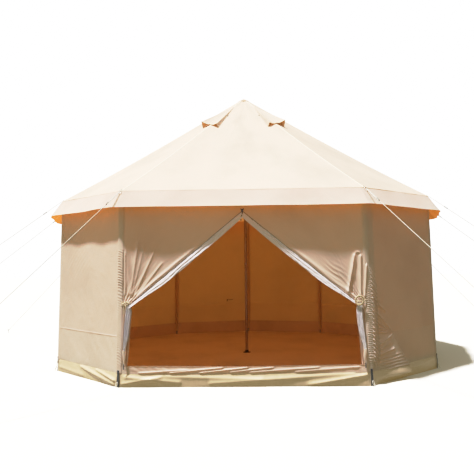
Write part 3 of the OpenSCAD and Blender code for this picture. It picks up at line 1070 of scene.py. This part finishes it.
flaps = {
    "across": 124,
    "fold": 0.009,
    "foldReach": 0.15,
    "folds": 5.5,
    "hemWidth": 0.045,
    "hemRise": 0.012,
    "gatherFold": 0.019,
    "fanRise": 0.0013,
    "softness": 0.0028,
    "eaveRise": 0.0014,
    "rippleRise": 0.0042,
    "swing": 0.006,
    "bunch": 0.010,
    "canvas": 0.0018,
    "rightPleats": (
        ((1.112, 1.306), (1.034, 0.900), 0.0135, 0.026),
        ((1.168, 1.296), (1.158, 0.850), 0.0150, 0.024),
        ((1.116, 1.304), (1.140, 1.324), 0.0120, 0.022),
        ((1.140, 1.324), (1.166, 1.300), 0.0120, 0.022),
        ((1.226, 1.200), (1.200, 0.860), 0.0110, 0.020),
        ((1.085, 1.180), (1.095, 0.880), 0.0060, 0.007),
    ),
    "leftPleats": (
        ((1.050, 1.440), (1.128, 0.900), 0.0200, 0.014),
        ((0.985, 1.420), (1.112, 0.900), 0.0140, 0.006),
        ((1.180, 1.350), (1.178, 0.900), 0.0070, 0.010),
        ((0.890, 1.340), (1.090, 0.900), 0.0150, 0.008),
        ((0.800, 1.240), (1.070, 0.885), 0.0130, 0.006),
    ),
}
edgeSlope = (tent["doorApex"] - tieHeight) / tieX
doorSides = ((1, "right"), (-1, "left"))


def freeEdge(z):
    taper = (sillX - 0.002 - tieX) * (tieHeight - z) / (tieHeight - sillTop)
    slanting = np.clip((tent["doorApex"] - z) / edgeSlope, 0.0004, tieX)
    return np.where(z >= tieHeight, slanting, tieX + taper)


def flapRelief(side, s, z):
    inner = freeEdge(z)
    width = frontHalf(z) - 0.003 - inner
    x = inner + s * width
    high = z >= tieHeight
    above = np.clip(z - tieHeight, 0, None)
    held = 1 - 0.55 * bell(z, tieHeight - 0.01, 0.035)
    attached = smooth(1.0, 0.90, s)
    phase = 0.15 if side > 0 else 0.62
    wander = 0.5 * softNoise(s * 3 + 4, z * 2.2, side + 20)
    extra = (flaps["gatherFold"] - flaps["fold"]) * np.exp(-above / 0.03)
    size = np.where(high, flaps["fold"] * np.exp(-above / flaps["foldReach"]) + extra, flaps["gatherFold"])
    d = size * (pinch(s * flaps["folds"] + phase + wander) - 0.45) * attached * held
    # the taut rolled hem along the slanting edge
    fromEdge = s * width * math.cos(math.atan(edgeSlope))
    taut = smooth(1.62, 1.25, z) * high
    d = d + flaps["hemRise"] * taut * bell(fromEdge, flaps["hemWidth"] * 0.6, flaps["hemWidth"] * 0.55)
    # faint pulls that fan from the tie, and soft ones under the eave
    fan = np.sin(np.arctan2(x - tieX, above + 0.02) * 13 + 1.3 * side)
    d = d + flaps["fanRise"] * fan * np.exp(-np.hypot(above, x - tieX) / 0.5) * attached
    d = d + flaps["softness"] * softNoise(x * 3.2, z * 4.0, side + 3) * attached * smooth(0.0, 0.05, x)
    underEave = bell(z, 1.80, 0.10) * bell(x, 0.55, 0.35)
    d = d + flaps["eaveRise"] * np.sin(z * 46 + 3.5 * np.cos(x * 5.0)) * underEave
    d = d + sum(foldRises(x, z, flaps["rightPleats"] if side > 0 else flaps["leftPleats"]))
    if side > 0:
        # fine slanting ripples beside the pleats
        ripples = pinch((x * 0.75 + z) / 0.046 + 0.4 * softNoise(x * 9, z * 9, 77))
        d = d + flaps["rippleRise"] * bell(x, 0.90, 0.11) * bell(z, 1.09, 0.12) * ripples
    return d


def flapCloth(side, name):
    heights = runs(sillTop, (tieHeight - 0.05, 40), (tieHeight + 0.06, 22), (1.34, 64),
                   (tent["doorApex"], 20), (wallTop, 10))
    s, z = gridOf(np.linspace(0, 1, flaps["across"] + 1), heights)
    inner, outer = freeEdge(z), frontHalf(z) - 0.003
    # in the gather the cloth also swings from side to side, so that it folds on itself
    gather = smooth(tieHeight + 0.05, tieHeight - 0.06, z)
    turns = s * 2 * math.pi * flaps["folds"] * 2 + 0.6 + z * 2
    swing = flaps["swing"] * np.sin(turns) * gather * np.sin(np.pi * s)
    bunch = flaps["bunch"] * bell(z, tieHeight - 0.01, 0.05) * (0.5 - s) * 2
    x = inner + (outer - inner) * s + swing + bunch
    points = frontPoint(side * x, z, flapRelief(side, s, z) - 0.004 * gather + 0.001)
    if side < 0:
        points, s = points[::-1], s[::-1]
    parts = clothParts(points, flatMap(side * s * 1.24 + 3, z), flaps["canvas"])
    piece = makePiece("doorHalf_" + name, parts, "wall_canvas", [wallOut, wallInGlow], "front_wall_" + name,
                      "door_flap_" + name, smoothAngle=75)


for side, name in doorSides:
    flapCloth(side, name)
print("door halves made")


# ---- zip tape, teeth and net strip along each slanting edge ----

zips = {
    "tapeWidth": 0.010,
    "teeth": 210,
    "toothSize": 0.0022,
    "netWidth": 0.060,
    "netSet": 0.007,
    "netCanvas": 0.001,
    "tapeCanvas": 0.0012,
}
edgeRun = np.array([tieX, tieHeight - tent["doorApex"]])
edgeLength = np.linalg.norm(edgeRun)


# a point beside the door half's slanting edge: t runs down the edge, under is how far below it
def edgePoint(side, t, under, out):
    t, under, out = arrays(t, under, out)
    along = edgeRun / edgeLength
    x = np.maximum(along[0] * t * edgeLength + along[1] * under, 0.0006)
    return frontPoint(side * x, tent["doorApex"] + along[1] * t * edgeLength - along[0] * under, out)


def netStrip(side, name):
    t, w = gridOf(np.linspace(0.012, 1.035, 150), np.linspace(0, 1, 27))
    width = zips["netWidth"] * (0.82 + 0.18 * smooth(0.0, 0.3, t)) * (1 - 0.66 * smooth(0.70, 1.03, t))
    d = zips["netSet"] + 0.012 * smooth(0.0, 0.45, w) + 0.006 * smooth(0.5, 1.0, w)
    d = d + 0.018 * smooth(0.90, 1.03, t)
    d = d + 0.0040 * (pinch(w * 2.6 + 0.6 * softNoise(t * 7, w * 0.8, side + 2)) - 0.5)
    d = d + 0.0022 * softNoise(t * 42, w * 5, side + 14) + 0.005 * w ** 2 * np.sin(t * 9 + side)
    points = edgePoint(side, t, 0.004 + width * w, d)[::-side]
    parts = clothParts(points, flatMap(t * edgeLength, w * 0.2), zips["netCanvas"])
    piece = makePiece("netStrip_" + name, parts, "net", [netWhite, netWhite],
                      *(["door_nets"] if side > 0 else []), smoothAngle=80)


def zipRuns():
    tapes, teeth = [], []
    width = zips["tapeWidth"]
    for side in (1, -1):
        t, w = gridOf(np.linspace(0.006, 0.985, 120), np.linspace(0, 1, 4))
        points = edgePoint(side, t, -0.004 + width * w, 0.0035 + 0.0015 * np.sin(t * 30))[::-side]
        tapes.append(clothParts(points, flatMap(t * edgeLength, w * width), zips["tapeCanvas"]))
        for k in range(zips["teeth"]):
            share = 0.02 + 0.955 * k / zips["teeth"]
            path = edgePoint(side, share, [width - 0.005, width + 0.0005], 0.0058)
            teeth.append(sweptParts(path, zips["toothSize"] / 2, 5, mark=1))
    makePiece("doorZips", tapes + teeth, "black_plastic", [zipTape, plasticBlack])


for side, name in doorSides:
    netStrip(side, name)
zipRuns()


# ---- the rest of each net, bunched and hanging from its tie ----

hangingNet = {
    "pleats": 6.5,
    "depth": 0.018,
    "top": 0.815,
    "foot": 0.335,
    "overlap": 0.050,
    "out": 0.030,
    "canvas": 0.0009,
}


def netFall(side, name):
    foot, top = hangingNet["foot"], hangingNet["top"]
    s, z = gridOf(np.linspace(0, 1, 66), np.linspace(foot, top, 70))
    share = (z - foot) / (top - foot)
    width = 0.018 + 0.034 * smooth(0.0, 0.45, share) * (1 - 0.45 * smooth(0.85, 1.0, share))
    sway = 0.005 * np.sin(share * 5 + side) * np.sin(np.pi * share)
    middle = freeEdge(z) + hangingNet["overlap"] - width / 2 + sway
    turns = s * hangingNet["pleats"] + 0.35 * softNoise(s * 2, z * 3, side + 6)
    depth = hangingNet["depth"] * (0.45 + 0.55 * smooth(0, 0.4, share))
    depth = depth * (1 - 0.3 * smooth(0.85, 1.0, share))
    x = middle + (s - 0.5) * width + 0.003 * np.sin(turns * 4 * math.pi + 1)
    d = hangingNet["out"] + depth * (pinch(turns) - 0.5) * 0.95 + 0.002 * softNoise(s * 9, z * 26, side)
    parts = clothParts(frontPoint(side * x, z, d)[::side], flatMap(s * 0.35, z), hangingNet["canvas"])
    piece = makePiece("netFall_" + name, parts, "net", [netWhite, netWhite],
                      *(["hanging_nets"] if side > 0 else []), smoothAngle=85)


# the canvas tip of the net and the black end of its zip
def netTip(side, name):
    foot = hangingNet["foot"]
    x = float(freeEdge(np.array(foot))) + hangingNet["overlap"] - 0.012
    z = np.linspace(foot + 0.03, sillTop + 0.02, 14)
    thickness = 0.005 + 0.011 * np.sin(np.linspace(0.7, 2.9, 14))
    tip = sweptParts(frontPoint(side * (x + 0.004 * np.sin(z * 40)), z, 0.032), thickness, 12, flatten=0.6)
    z = np.linspace(sillTop + 0.030, sillTop - 0.028, 6)
    end = sweptParts(frontPoint(side * (x + 0.002), z, 0.034), 0.0048, 8, mark=1, flatten=0.5)
    makePiece("netTip_" + name, [tip, end], "wall_canvas", [lowOut, plasticBlack])


for side, name in doorSides:
    netFall(side, name)
    netTip(side, name)


# ---- the ties: a knotted loop at the left and a coiled cord at the right ----

ties = {
    "cord": 0.0068,
    "coilTurns": 2.2,
    "coilFrom": 0.030,
    "coilRadius": 0.050,
    "coilCord": 1.45,
    "wrap": 3,
    # half width, half height and turn
    "bows": ((0.026, 0.014, 0.5), (0.020, 0.018, -0.6), (0.016, 0.012, 0.1)),
    # offset, drop and lean
    "ends": ((-0.012, 0.10, -0.010), (0.010, 0.075, 0.006)),
}


def doorTies():
    parts, cord = [], ties["cord"] / 2
    faceY = frontPoint(0.0, tieHeight)[1]
    bunchX = (tieX + float(frontHalf(np.array(tieHeight)))) / 2 - 0.012
    for side in (1, -1):
        for k in range(ties["wrap"]):
            centre = (side * bunchX, faceY - 0.001, tieHeight - 0.012 + 0.010 * k)
            path = ovalPath(centre, (0.058, 0, 0.006 * side * (k - 1)), (0, 0.021, 0), 40)
            parts.append(sweptParts(path, cord, 8, closed=True))
    # right: a flat coil that hangs in front of the tie
    turn = np.linspace(0, ties["coilTurns"] * 2 * math.pi, 150)
    reach = ties["coilFrom"] + (ties["coilRadius"] - ties["coilFrom"]) * turn / turn[-1]
    coil = [bunchX - 0.020 + reach * np.sin(turn), faceY - 0.046 - 0.004 * np.cos(turn * 0.5),
            tieHeight + 0.006 + reach * np.cos(turn)]
    parts.append(sweptParts(np.stack(coil, -1), cord * ties["coilCord"], 10))
    # left: knot, bows and hanging loops
    knot = np.array([-bunchX - 0.004, faceY - 0.033, tieHeight - 0.004])
    for k, (wide, tall, tilt) in enumerate(ties["bows"]):
        level, up = math.cos(tilt), math.sin(tilt)
        bow = ovalPath(knot, (wide * level, 0, wide * up), (-tall * up, 0, tall * level), 30)
        bow[:, 1] += 0.005 * np.sin(fullTurn(30) * 2 + k)
        parts.append(sweptParts(bow, cord * 1.1, 8, closed=True))
    for offset, drop, lean in ties["ends"]:
        middle = knot + (offset + lean / 2, 0.004, -drop / 2)
        hang = ovalPath(middle, (-lean / 2, -0.002, drop / 2), (0.007, 0, 0), 36)
        parts.append(sweptParts(hang, cord, 8, closed=True, side=(0, 1, 0)))
    makePiece("doorTies", parts, "rope", [tieMaterial], "door_ties")


doorTies()


# ---- the zip's slider at the top of the doorway, with its tape ----

zipPull = {
    "length": 0.105,
    "width": 0.012,
    "body": 0.011,
    "outline": (0.35, 0.75, 0.95, 1.0, 0.92, 0.85, 0.8, 0.7, 0.35),
    "canvas": 0.0014,
}


def zipSlider():
    top = tent["doorApex"] + 0.006
    z, w = gridOf(np.linspace(top - zipPull["length"], top, 26), np.linspace(-1, 1, 5))
    fall = (top - z) / zipPull["length"]
    x = w * zipPull["width"] / 2 * (1 - 0.25 * fall) - 0.012 * fall + 0.004 * np.sin(fall * 6)
    points = frontPoint(x, z, 0.008 + 0.010 * np.sin(fall * 3.0) + 0.0015 * w * np.sin(fall * 7))
    tape = clothParts(points[:, ::-1], flatMap(w * 0.006, z), zipPull["canvas"])
    outline = zipPull["body"] * np.array(zipPull["outline"])
    path = frontPoint(np.zeros(9), np.linspace(top + 0.014, top - 0.016, 9), 0.0085)
    body = sweptParts(path, outline, 14, mark=1, flatten=0.55)
    ears = []
    for k in (-1, 1):
        path = frontPoint([0.004 * k, 0.017 * k], [top + 0.008, top + 0.016], 0.006)
        ears.append(sweptParts(path, 0.0045, 8, mark=1))
    makePiece("zipPullTape", [tape, body] + ears, "black_plastic", [webbing, plasticBlack], "zip_pull")


zipSlider()
print("door fittings made")


# ---- the groundsheet, with its raised edge and folded corners ----

ground = {
    "rings": 36,
    "steps": 18,
    "frontSteps": 40,
    "ripple": 0.0035,
    "seamEvery": 1.5,
    "weldRise": 0.0009,
    "canvas": 0.002,
    "edgeCanvas": 0.0016,
    "edgeInset": 0.010,
    "slump": 0.010,
    "crease": 0.006,
}


def groundStrip(bay):
    count = ground["frontSteps"] if bay == frontBay else ground["steps"]
    u, reach = gridOf(np.linspace(0, 1, count + 1)[:-1], np.linspace(0.004, 1.0, ground["rings"])[::-1])
    points = acrossBay(bay, (tentRadius - 0.010) * reach, u)
    x, y = points[..., 0], points[..., 1]
    soft = softNoise(x * 1.7, y * 1.7, 3) + 0.45 * softNoise(x * 4.4, y * 4.4, 9)
    creases = 0.9 * pinch(x * 0.9 + 0.35 * softNoise(x, y, 21) + 0.2) ** 3 * bell(y, -1.4, 0.5)
    creases = creases + 0.7 * pinch(y * 1.3 + x * 0.2) ** 4
    fromWeld = np.abs((x + 0.75) % ground["seamEvery"] - ground["seamEvery"] / 2)
    weld = ground["weldRise"] * smooth(0.016, 0.010, fromWeld)
    rise = ground["ripple"] * (0.35 + 0.4 * soft + 0.6 * creases) * smooth(1.0, 0.93, reach)
    points[..., 2] = np.maximum(floorTop + rise + weld, 0.0035)
    return points, flatMap(x, y)


def groundSheet():
    points, flat = ringCloth(groundStrip)
    parts = clothParts(points, flat, ground["canvas"], wrap=True)
    piece = makePiece("groundsheetFloor", parts, "groundsheet", [floorClothAndGlow, floorClothAndGlow], "groundsheet")


def groundEdge():
    parts = []
    for bay in bays:
        count = 80 if bay == frontBay else 30
        u, z = gridOf(np.linspace(0.003, 0.997, count + 1), np.linspace(floorTop + 0.001, tubTop, 10))
        share = z / tubTop
        slump = ground["slump"] * share * (0.5 + 0.5 * softNoise(u * 6, z * 0, bay + 50)) * midBay(u)
        crease = ground["crease"] * share * smooth(0.10, 0.0, np.minimum(u, 1 - u)) * np.sin(share * 9)
        points = bayPoint(bay, u, z, -ground["edgeInset"] - slump - crease)
        parts.append(clothParts(points, flatMap(u * bayWidth(bay) + bay, z), ground["edgeCanvas"]))
    piece = makePiece("groundsheetRim", parts, "groundsheet", [floorClothAndGlow, floorClothAndGlow], "groundsheet_edge")


groundSheet()
groundEdge()
print("groundsheet made")


# ---- poles ----

poles = {
    "sleeveRadius": 0.0155,
    "sleeveCanvas": 0.0012,
    "spike": 0.016,
    "spikeRadius": 0.004,
    "spikeFoot": 0.009,
    "inset": 0.0205,
    "joints": (1.18, 2.34),
}


# a point inside a corner, at the same distance from both walls' outer faces
def cornerInside(corner, z, inset):
    a = cornerDirection(corner)
    before = np.cross(unit(a - cornerDirection(corner - 1)), upAxis)
    after = np.cross(unit(cornerDirection(corner + 1) - a), upAxis)
    middle = unit(before + after)
    return float(wallRadius(z)) * a + z * upAxis - middle * inset / middle.dot(before)


def poleSleeves():
    parts = []
    for corner in bays:
        heights = np.linspace(tubTop * 0.3, walls["head"] - 0.03, 34)
        path = np.array([cornerInside(corner, h, poles["inset"]) for h in heights])
        turn, row = gridOf(fullTurn(13), np.arange(len(heights)))
        radius = poles["sleeveRadius"] * (1 + 0.05 * np.sin(turn * 3 + row * 0.3 + corner))
        radius = radius + 0.0012 * softNoise(turn, row * 0.5, corner + 90)
        ring = np.stack([np.cos(turn), np.sin(turn), 0 * turn], -1)
        flat = flatMap(turn * poles["sleeveRadius"], heights[row])
        points = path[row] + ring * radius[..., None]
        parts.append(clothParts(points, flat, poles["sleeveCanvas"], wrap=True))
    piece = makePiece("poleSleeves", parts, "wall_canvas", [wallInGlow, wallInGlow])


def poleSpikes():
    tip, thin, wide = poles["spike"], poles["spikeRadius"], poles["spikeFoot"]
    height = np.array([0, 0.004, 0.005, tip * 0.8, tip, tip + 0.002])
    parts = []
    for corner in bays:
        foot = (eaveRadius - 0.016) * cornerDirection(corner) + (eaveHeight + 0.002) * upAxis
        radius = [wide, wide, thin, thin, thin * 0.8, 0.001]
        parts.append(sweptParts(foot + height[:, None] * upAxis, radius, 12, side=(1, 0, 0)))
    makePiece("poleSpikes", parts, "steel", [steelDull])


def poleShoe():
    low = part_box("pole_foot")[0].z
    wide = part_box("pole_foot")[1].x
    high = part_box("pole_foot")[1].z
    profile = [(0.0005, low), (wide * 0.97, low), (wide, low + 0.0015), (wide, high - 0.004),
               (wide * 0.95, high - 0.001), (wide * 0.80, high), (wide * 0.62, high - 0.0015),
               (poleRadius * 1.35, high - 0.001), (poleRadius * 1.22, high + 0.001),
               (poleRadius * 1.20, high + 0.022), (poleRadius * 1.12, high + 0.026),
               (poleRadius * 1.015, high + 0.027), (poleRadius * 1.01, high + 0.001),
               (0.0005, high + 0.0002)]
    makePiece("poleShoe", turnedParts(profile, 64), "dark_steel", [rubberDark], "pole_foot", smoothAngle=35)


def poleJoints():
    parts = []
    fit, gap, swell = poleRadius * 1.002, poleRadius * 1.03, poleRadius * 1.10
    for middle in poles["joints"]:
        parts.append(turnedParts([
            (fit, middle - 0.055), (swell, middle - 0.050), (swell, middle - 0.006), (gap, middle - 0.004),
            (gap, middle + 0.003), (swell * 0.99, middle + 0.005), (swell * 0.99, middle + 0.040),
            (fit, middle + 0.046)], 48))
        button = [(0, -out, middle + 0.022) for out in (swell * 0.9, swell + 0.002, swell + 0.0045)]
        parts.append(sweptParts(button, [0.005, 0.005, 0.0025], 16, mark=1))
    makePiece("poleJoints", parts, "dark_steel", [polePaint, steelBright], smoothAngle=35)


poleSleeves()
poleSpikes()
poleShoe()
poleJoints()


# ---- straps at the foot of each corner, with a cord loop to peg through ----

straps = {
    "top": 0.168,
    "width": 0.0095,
    "rise": 0.0016,
    "belly": 0.005,
    "stitch": ((-0.8, 0.150), (0.8, 0.150), (0.8, 0.164), (-0.8, 0.164)),
    "stitchCord": 0.0007,
    "loop": 0.010,
    "loopHeight": 0.045,
    "loopCord": 0.0026,
}


def cornerStraps():
    parts, loops = [], []
    for corner in bays:
        w, z = gridOf(np.linspace(-1, 1, 11), np.linspace(0.004, straps["top"], 30))
        d = 0.0125 + straps["belly"] * belly(z / mudTop, 2) + 0.0008 * np.sin(z * 60 + corner)
        d = np.where(z > straps["top"] - 0.02, d + 0.0015, d)
        across = w * straps["width"]
        parts.append(clothParts(cornerTurn(corner, across, z, d), flatMap(across, z), straps["rise"]))
        x, z = np.array(straps["stitch"]).T
        stitch = cornerTurn(corner, x * straps["width"], z, np.full(4, 0.0152))
        parts.append(sweptParts(stitch, straps["stitchCord"], 5, closed=True, mark=1))
        out, size, tall = cornerDirection(corner), straps["loop"], straps["loopHeight"] / 2
        middle = out * (tentRadius + 0.014 + size) + upAxis * (0.010 + tall)
        path = ovalPath(middle, upAxis * tall - out * size, sideways(corner) * size, 30)
        loops.append(sweptParts(path, straps["loopCord"], 8, closed=True, side=tuple(out)))
    piece = makePiece("cornerWebbing", parts, "webbing", [webbing, webbing], "corner_straps")
    makePiece("footLoops", loops, "rope", [cordMaterial])


cornerStraps()
print("poles and straps made")


# ---- guy ropes, taut from the eave rings to their pegs ----

guys = {
    "pegRadius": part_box("pegs")[1].x - 0.030,
    "holdHeight": 0.044,
    "ringRadius": 0.015,
    "ringWire": 0.004,
    "rope": 0.006,
    "spread": 0.0046,
    "sliderAt": 0.21,
    "sliderLength": 0.052,
    "sliderRadius": 0.0072,
    "sag": 0.010,
    "pegHeight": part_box("pegs")[1].z,
    "pegWire": 0.0088,
    "pegBend": 0.011,
    "pegHook": 0.0295,
}
guyStart = np.array([eaveRadius, eaveHeight + guys["ringWire"] / 2 + 0.0006])
guyEnd = np.array([guys["pegRadius"], guys["holdHeight"]])
guyLength = float(np.linalg.norm(guyEnd - guyStart))
guyRun = (guyEnd - guyStart) / guyLength


# a point on a guy rope, by its distance from the eave and how far it stands to one side
def guyPoint(corner, distance, aside=0.0):
    distance, aside = arrays(distance, aside)
    t = distance / guyLength
    r = guyStart[0] + guyRun[0] * distance
    z = guyStart[1] + guyRun[1] * distance - guys["sag"] * 4 * t * (1 - t)
    run = r[..., None] * cornerDirection(corner) + z[..., None] * upAxis
    return run + aside[..., None] * sideways(corner)


def guyRopes():
    parts, sliders = [], []
    ringFar = guys["ringRadius"] * 2 + guys["ringWire"]
    sliderEnd = guys["sliderAt"] + guys["sliderLength"]
    half, spread = guys["rope"] / 2, guys["spread"]
    for corner in bays:
        # out from the slider round the ring and back again
        turn = np.linspace(0, math.pi, 9)
        near = np.linspace(sliderEnd - 0.008, ringFar + 0.004, 12)
        bend = guyPoint(corner, ringFar - 0.001 - 0.005 * np.sin(turn), spread * np.cos(turn))
        path = [guyPoint(corner, near, spread), bend[1:-1], guyPoint(corner, near[::-1], -spread)]
        parts.append(sweptParts(np.concatenate(path), half * 0.92, 10))
        # the long run to the peg
        run = np.linspace(sliderEnd - 0.010, guyLength - 0.022, 46)
        parts.append(sweptParts(guyPoint(corner, run), half, 10))
        # the loop round the peg, with its whipping
        radial = cornerDirection(corner)
        middle = guyPoint(corner, guyLength) - radial * 0.001
        ring = ovalPath(middle, radial * 0.0092 - upAxis * 0.0064, sideways(corner) * 0.0085, 28)
        parts.append(sweptParts(ring, half * 0.9, 8, closed=True))
        whip = guyPoint(corner, np.linspace(guyLength - 0.050, guyLength - 0.014, 12))
        parts.append(sweptParts(whip, half * np.array([1.1] + [1.45, 1.6] * 5 + [1.1]), 10))
        # the adjuster: a drilled bar with rounded ends
        t = np.linspace(0, 1, 15)
        ends = np.clip(np.sin(np.pi * (0.02 + t * 0.96)) * 5, 0.3, 1)
        shape = guys["sliderRadius"] * (0.80 + 0.20 * np.abs(2 * t - 1) ** 2) * ends
        path = guyPoint(corner, guys["sliderAt"] + guys["sliderLength"] * t)
        sliders.append(sweptParts(path, shape, 14, flatten=0.8))
    makePiece("guyCords", parts, "rope", [cordMaterial], "guy_ropes")
    makePiece("guyAdjusters", sliders, "black_plastic", [plasticBlack], "guy_sliders")


def tentPegs():
    parts = []
    wire, bend = guys["pegWire"] / 2, guys["pegBend"]
    top = guys["pegHeight"] - wire
    turn = np.linspace(0, math.pi / 2, 9)[1:]
    outline = [(0.0, 0.0), (0.0, 0.02), (0.0, top - bend)]
    outline += [(bend * (1 - math.cos(t)), top - bend + bend * math.sin(t)) for t in turn]
    outline += [(guys["pegHook"] - 0.006, top), (guys["pegHook"] - 0.002, top - 0.001)]
    for corner in bays:
        path = [cornerDirection(corner) * (guys["pegRadius"] + x) + upAxis * z for x, z in outline]
        parts.append(sweptParts(path, wire, 12, side=tuple(sideways(corner))))
    makePiece("groundPegs", parts, "steel", [steelDull], "pegs")


guyRopes()
tentPegs()
print("guy ropes and pegs made")


# ---- a small toggle left hanging on the back wall inside ----

toggle = {
    "height": 0.575,
    "share": 0.30,
    "bay": 5,
    "length": 0.105,
    "set": -0.016,
    "cord": 0.0028,
    "drop": 0.006,
}


def wallToggle():
    place, beside = [bayPoint(toggle["bay"], toggle["share"] + step, toggle["height"], toggle["set"])
                     for step in (0, 0.01)]
    side = unit(beside - place)
    t = np.linspace(0, 1, 14)[:, None]
    bar = place - side * toggle["length"] * t - upAxis * 0.006 * np.sin(t * 3)
    drop = place + (side * 0.004 - upAxis * 0.032) * np.linspace(0, 1, 6)[:, None]
    parts = [sweptParts(bar, toggle["cord"], 8), sweptParts(drop, toggle["drop"], 10, mark=1)]
    makePiece("wallToggle", parts, "webbing", [webbing, plasticBlack])


wallToggle()


# ---- what stays from the frame gets its finish ----

keptFinishes = {"centre_pole": polePaint, "wall_poles": steelDull, "guy_rings": steelBright}
for nodeName, finish in keptFinishes.items():
    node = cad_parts[nodeName]
    node.data.materials.clear()
    node.data.materials.append(finish)


# ---- floor, light and camera ----

studio = {
    "floorSize": 90.0,
    "floorTone": colour(0.93, 0.925, 0.915),
    "floorLight": colour(0.945, 0.94, 0.93),
    "sunStrength": 6.2,
    "sunSize": 3.5,
    "sunTone": (1.0, 0.975, 0.93),
    "sunFrom": (-0.262, -0.204, 0.943),
    "skyTone": colour(0.64, 0.62, 0.45),
    "skyStrength": 0.68,
    "sideFall": (1.15, 0.66),
    "groundTone": colour(0.56, 0.45, 0.18),
    "backdropTone": colour(1.9, 1.9, 1.9),
    "whitePoint": 1.9,
    "toneCurve": ((0.30, 0.30), (0.75, 0.73), (1.40, 0.94)),
}


def studioFloor():
    half = studio["floorSize"] / 2
    mesh = bpy.data.meshes.new("studioFloor")
    square = [(-half, -half, 0), (half, -half, 0), (half, half, 0), (-half, half, 0)]
    mesh.from_pydata(square, [], [(0, 1, 2, 3)])
    piece = bpy.data.objects.new("studioFloor", mesh)
    bpy.context.scene.collection.objects.link(piece)
    material, tree = newMaterial("paleFloor")
    tone = noiseValue(tree, ownCoords(tree), 0.4, 2.0)
    base = rampValue(tree, tone, [(0.3, studio["floorTone"]), (0.7, studio["floorLight"])])
    skin = {"Base Color": base, "Roughness": 0.9, "Specular IOR Level": 0.1}
    output(tree, addNode(tree, "BsdfPrincipled", skin))
    mesh.materials.append(material)
    piece.visible_diffuse = False  # the white floor doesn't light the tent from below
    piece.visible_transmission = False


def studioSun():
    sun = bpy.data.lights.new("sun", "SUN")
    sun.energy = studio["sunStrength"]
    sun.angle = math.radians(studio["sunSize"])
    sun.color = studio["sunTone"]
    lamp = bpy.data.objects.new("sun", sun)
    lamp.rotation_euler = Vector(studio["sunFrom"]).to_track_quat("Z", "Y").to_euler()
    bpy.context.scene.collection.objects.link(lamp)


def studioSky():
    world = bpy.data.worlds.new("studio")
    world.use_nodes = True
    tree = world.node_tree
    tree.nodes.clear()
    place = addNode(tree, "TexCoord")
    apart = addNode(tree, "SeparateXYZ", {0: place.outputs["Generated"]})
    leftSide, rightSide = [studio["skyStrength"] * share for share in studio["sideFall"]]
    strength = addNode(tree, "MapRange", {"Value": apart.outputs[0], "From Min": -0.7, "From Max": 0.7,
                       "To Min": leftSide, "To Max": rightSide}).outputs[0]
    share = addNode(tree, "MapRange", {"Value": apart.outputs[2], "From Min": -0.08,
                    "From Max": 0.12}).outputs[0]
    fill = mixTwo(tree, share, studio["groundTone"], studio["skyTone"])
    seen = addNode(tree, "LightPath").outputs["Is Camera Ray"]
    shade = addNode(tree, "Background", {"Color": fill, "Strength": strength})
    plain = addNode(tree, "Background", {"Color": studio["backdropTone"], "Strength": 1.0})
    both = addNode(tree, "MixShader", {0: seen, 1: shade.outputs[0], 2: plain.outputs[0]})
    output(tree, both, "OutputWorld")
    bpy.context.scene.world = world


def shownTones():
    look = bpy.context.scene.view_settings
    look.view_transform = "Standard"
    look.use_curve_mapping = True
    look.curve_mapping.white_level = (studio["whitePoint"],) * 3
    for light, shown in studio["toneCurve"]:
        look.curve_mapping.curves[3].points.new(light / studio["whitePoint"], shown)
    look.curve_mapping.update()


view = {
    "place": (0.109, -7.919, 1.221),
    "yaw": 0.0284,
    "pitch": 0.0445,
    "roll": -0.0119,
    "lens": 43.94,
}


def viewCamera():
    yaw, pitch, roll = view["yaw"], view["pitch"], view["roll"]
    level = Vector((math.cos(yaw), math.sin(yaw), 0))
    ahead = Vector((-math.sin(yaw), math.cos(yaw), 0))
    forward = ahead * math.cos(pitch) + Vector((0, 0, math.sin(pitch)))
    above = ahead * -math.sin(pitch) + Vector((0, 0, math.cos(pitch)))
    right = level * math.cos(roll) + above * math.sin(roll)
    top = level * -math.sin(roll) + above * math.cos(roll)
    lens = bpy.data.cameras.new("camera")
    lens.lens = view["lens"]
    lens.sensor_width = 36.0
    camera = bpy.data.objects.new("camera", lens)
    turn = Matrix((right, top, -forward)).transposed().to_4x4()
    camera.matrix_world = Matrix.Translation(Vector(view["place"])) @ turn
    bpy.context.scene.collection.objects.link(camera)
    bpy.context.scene.camera = camera


studioFloor()
studioSun()
studioSky()
shownTones()
viewCamera()
print("floor, light and camera made")
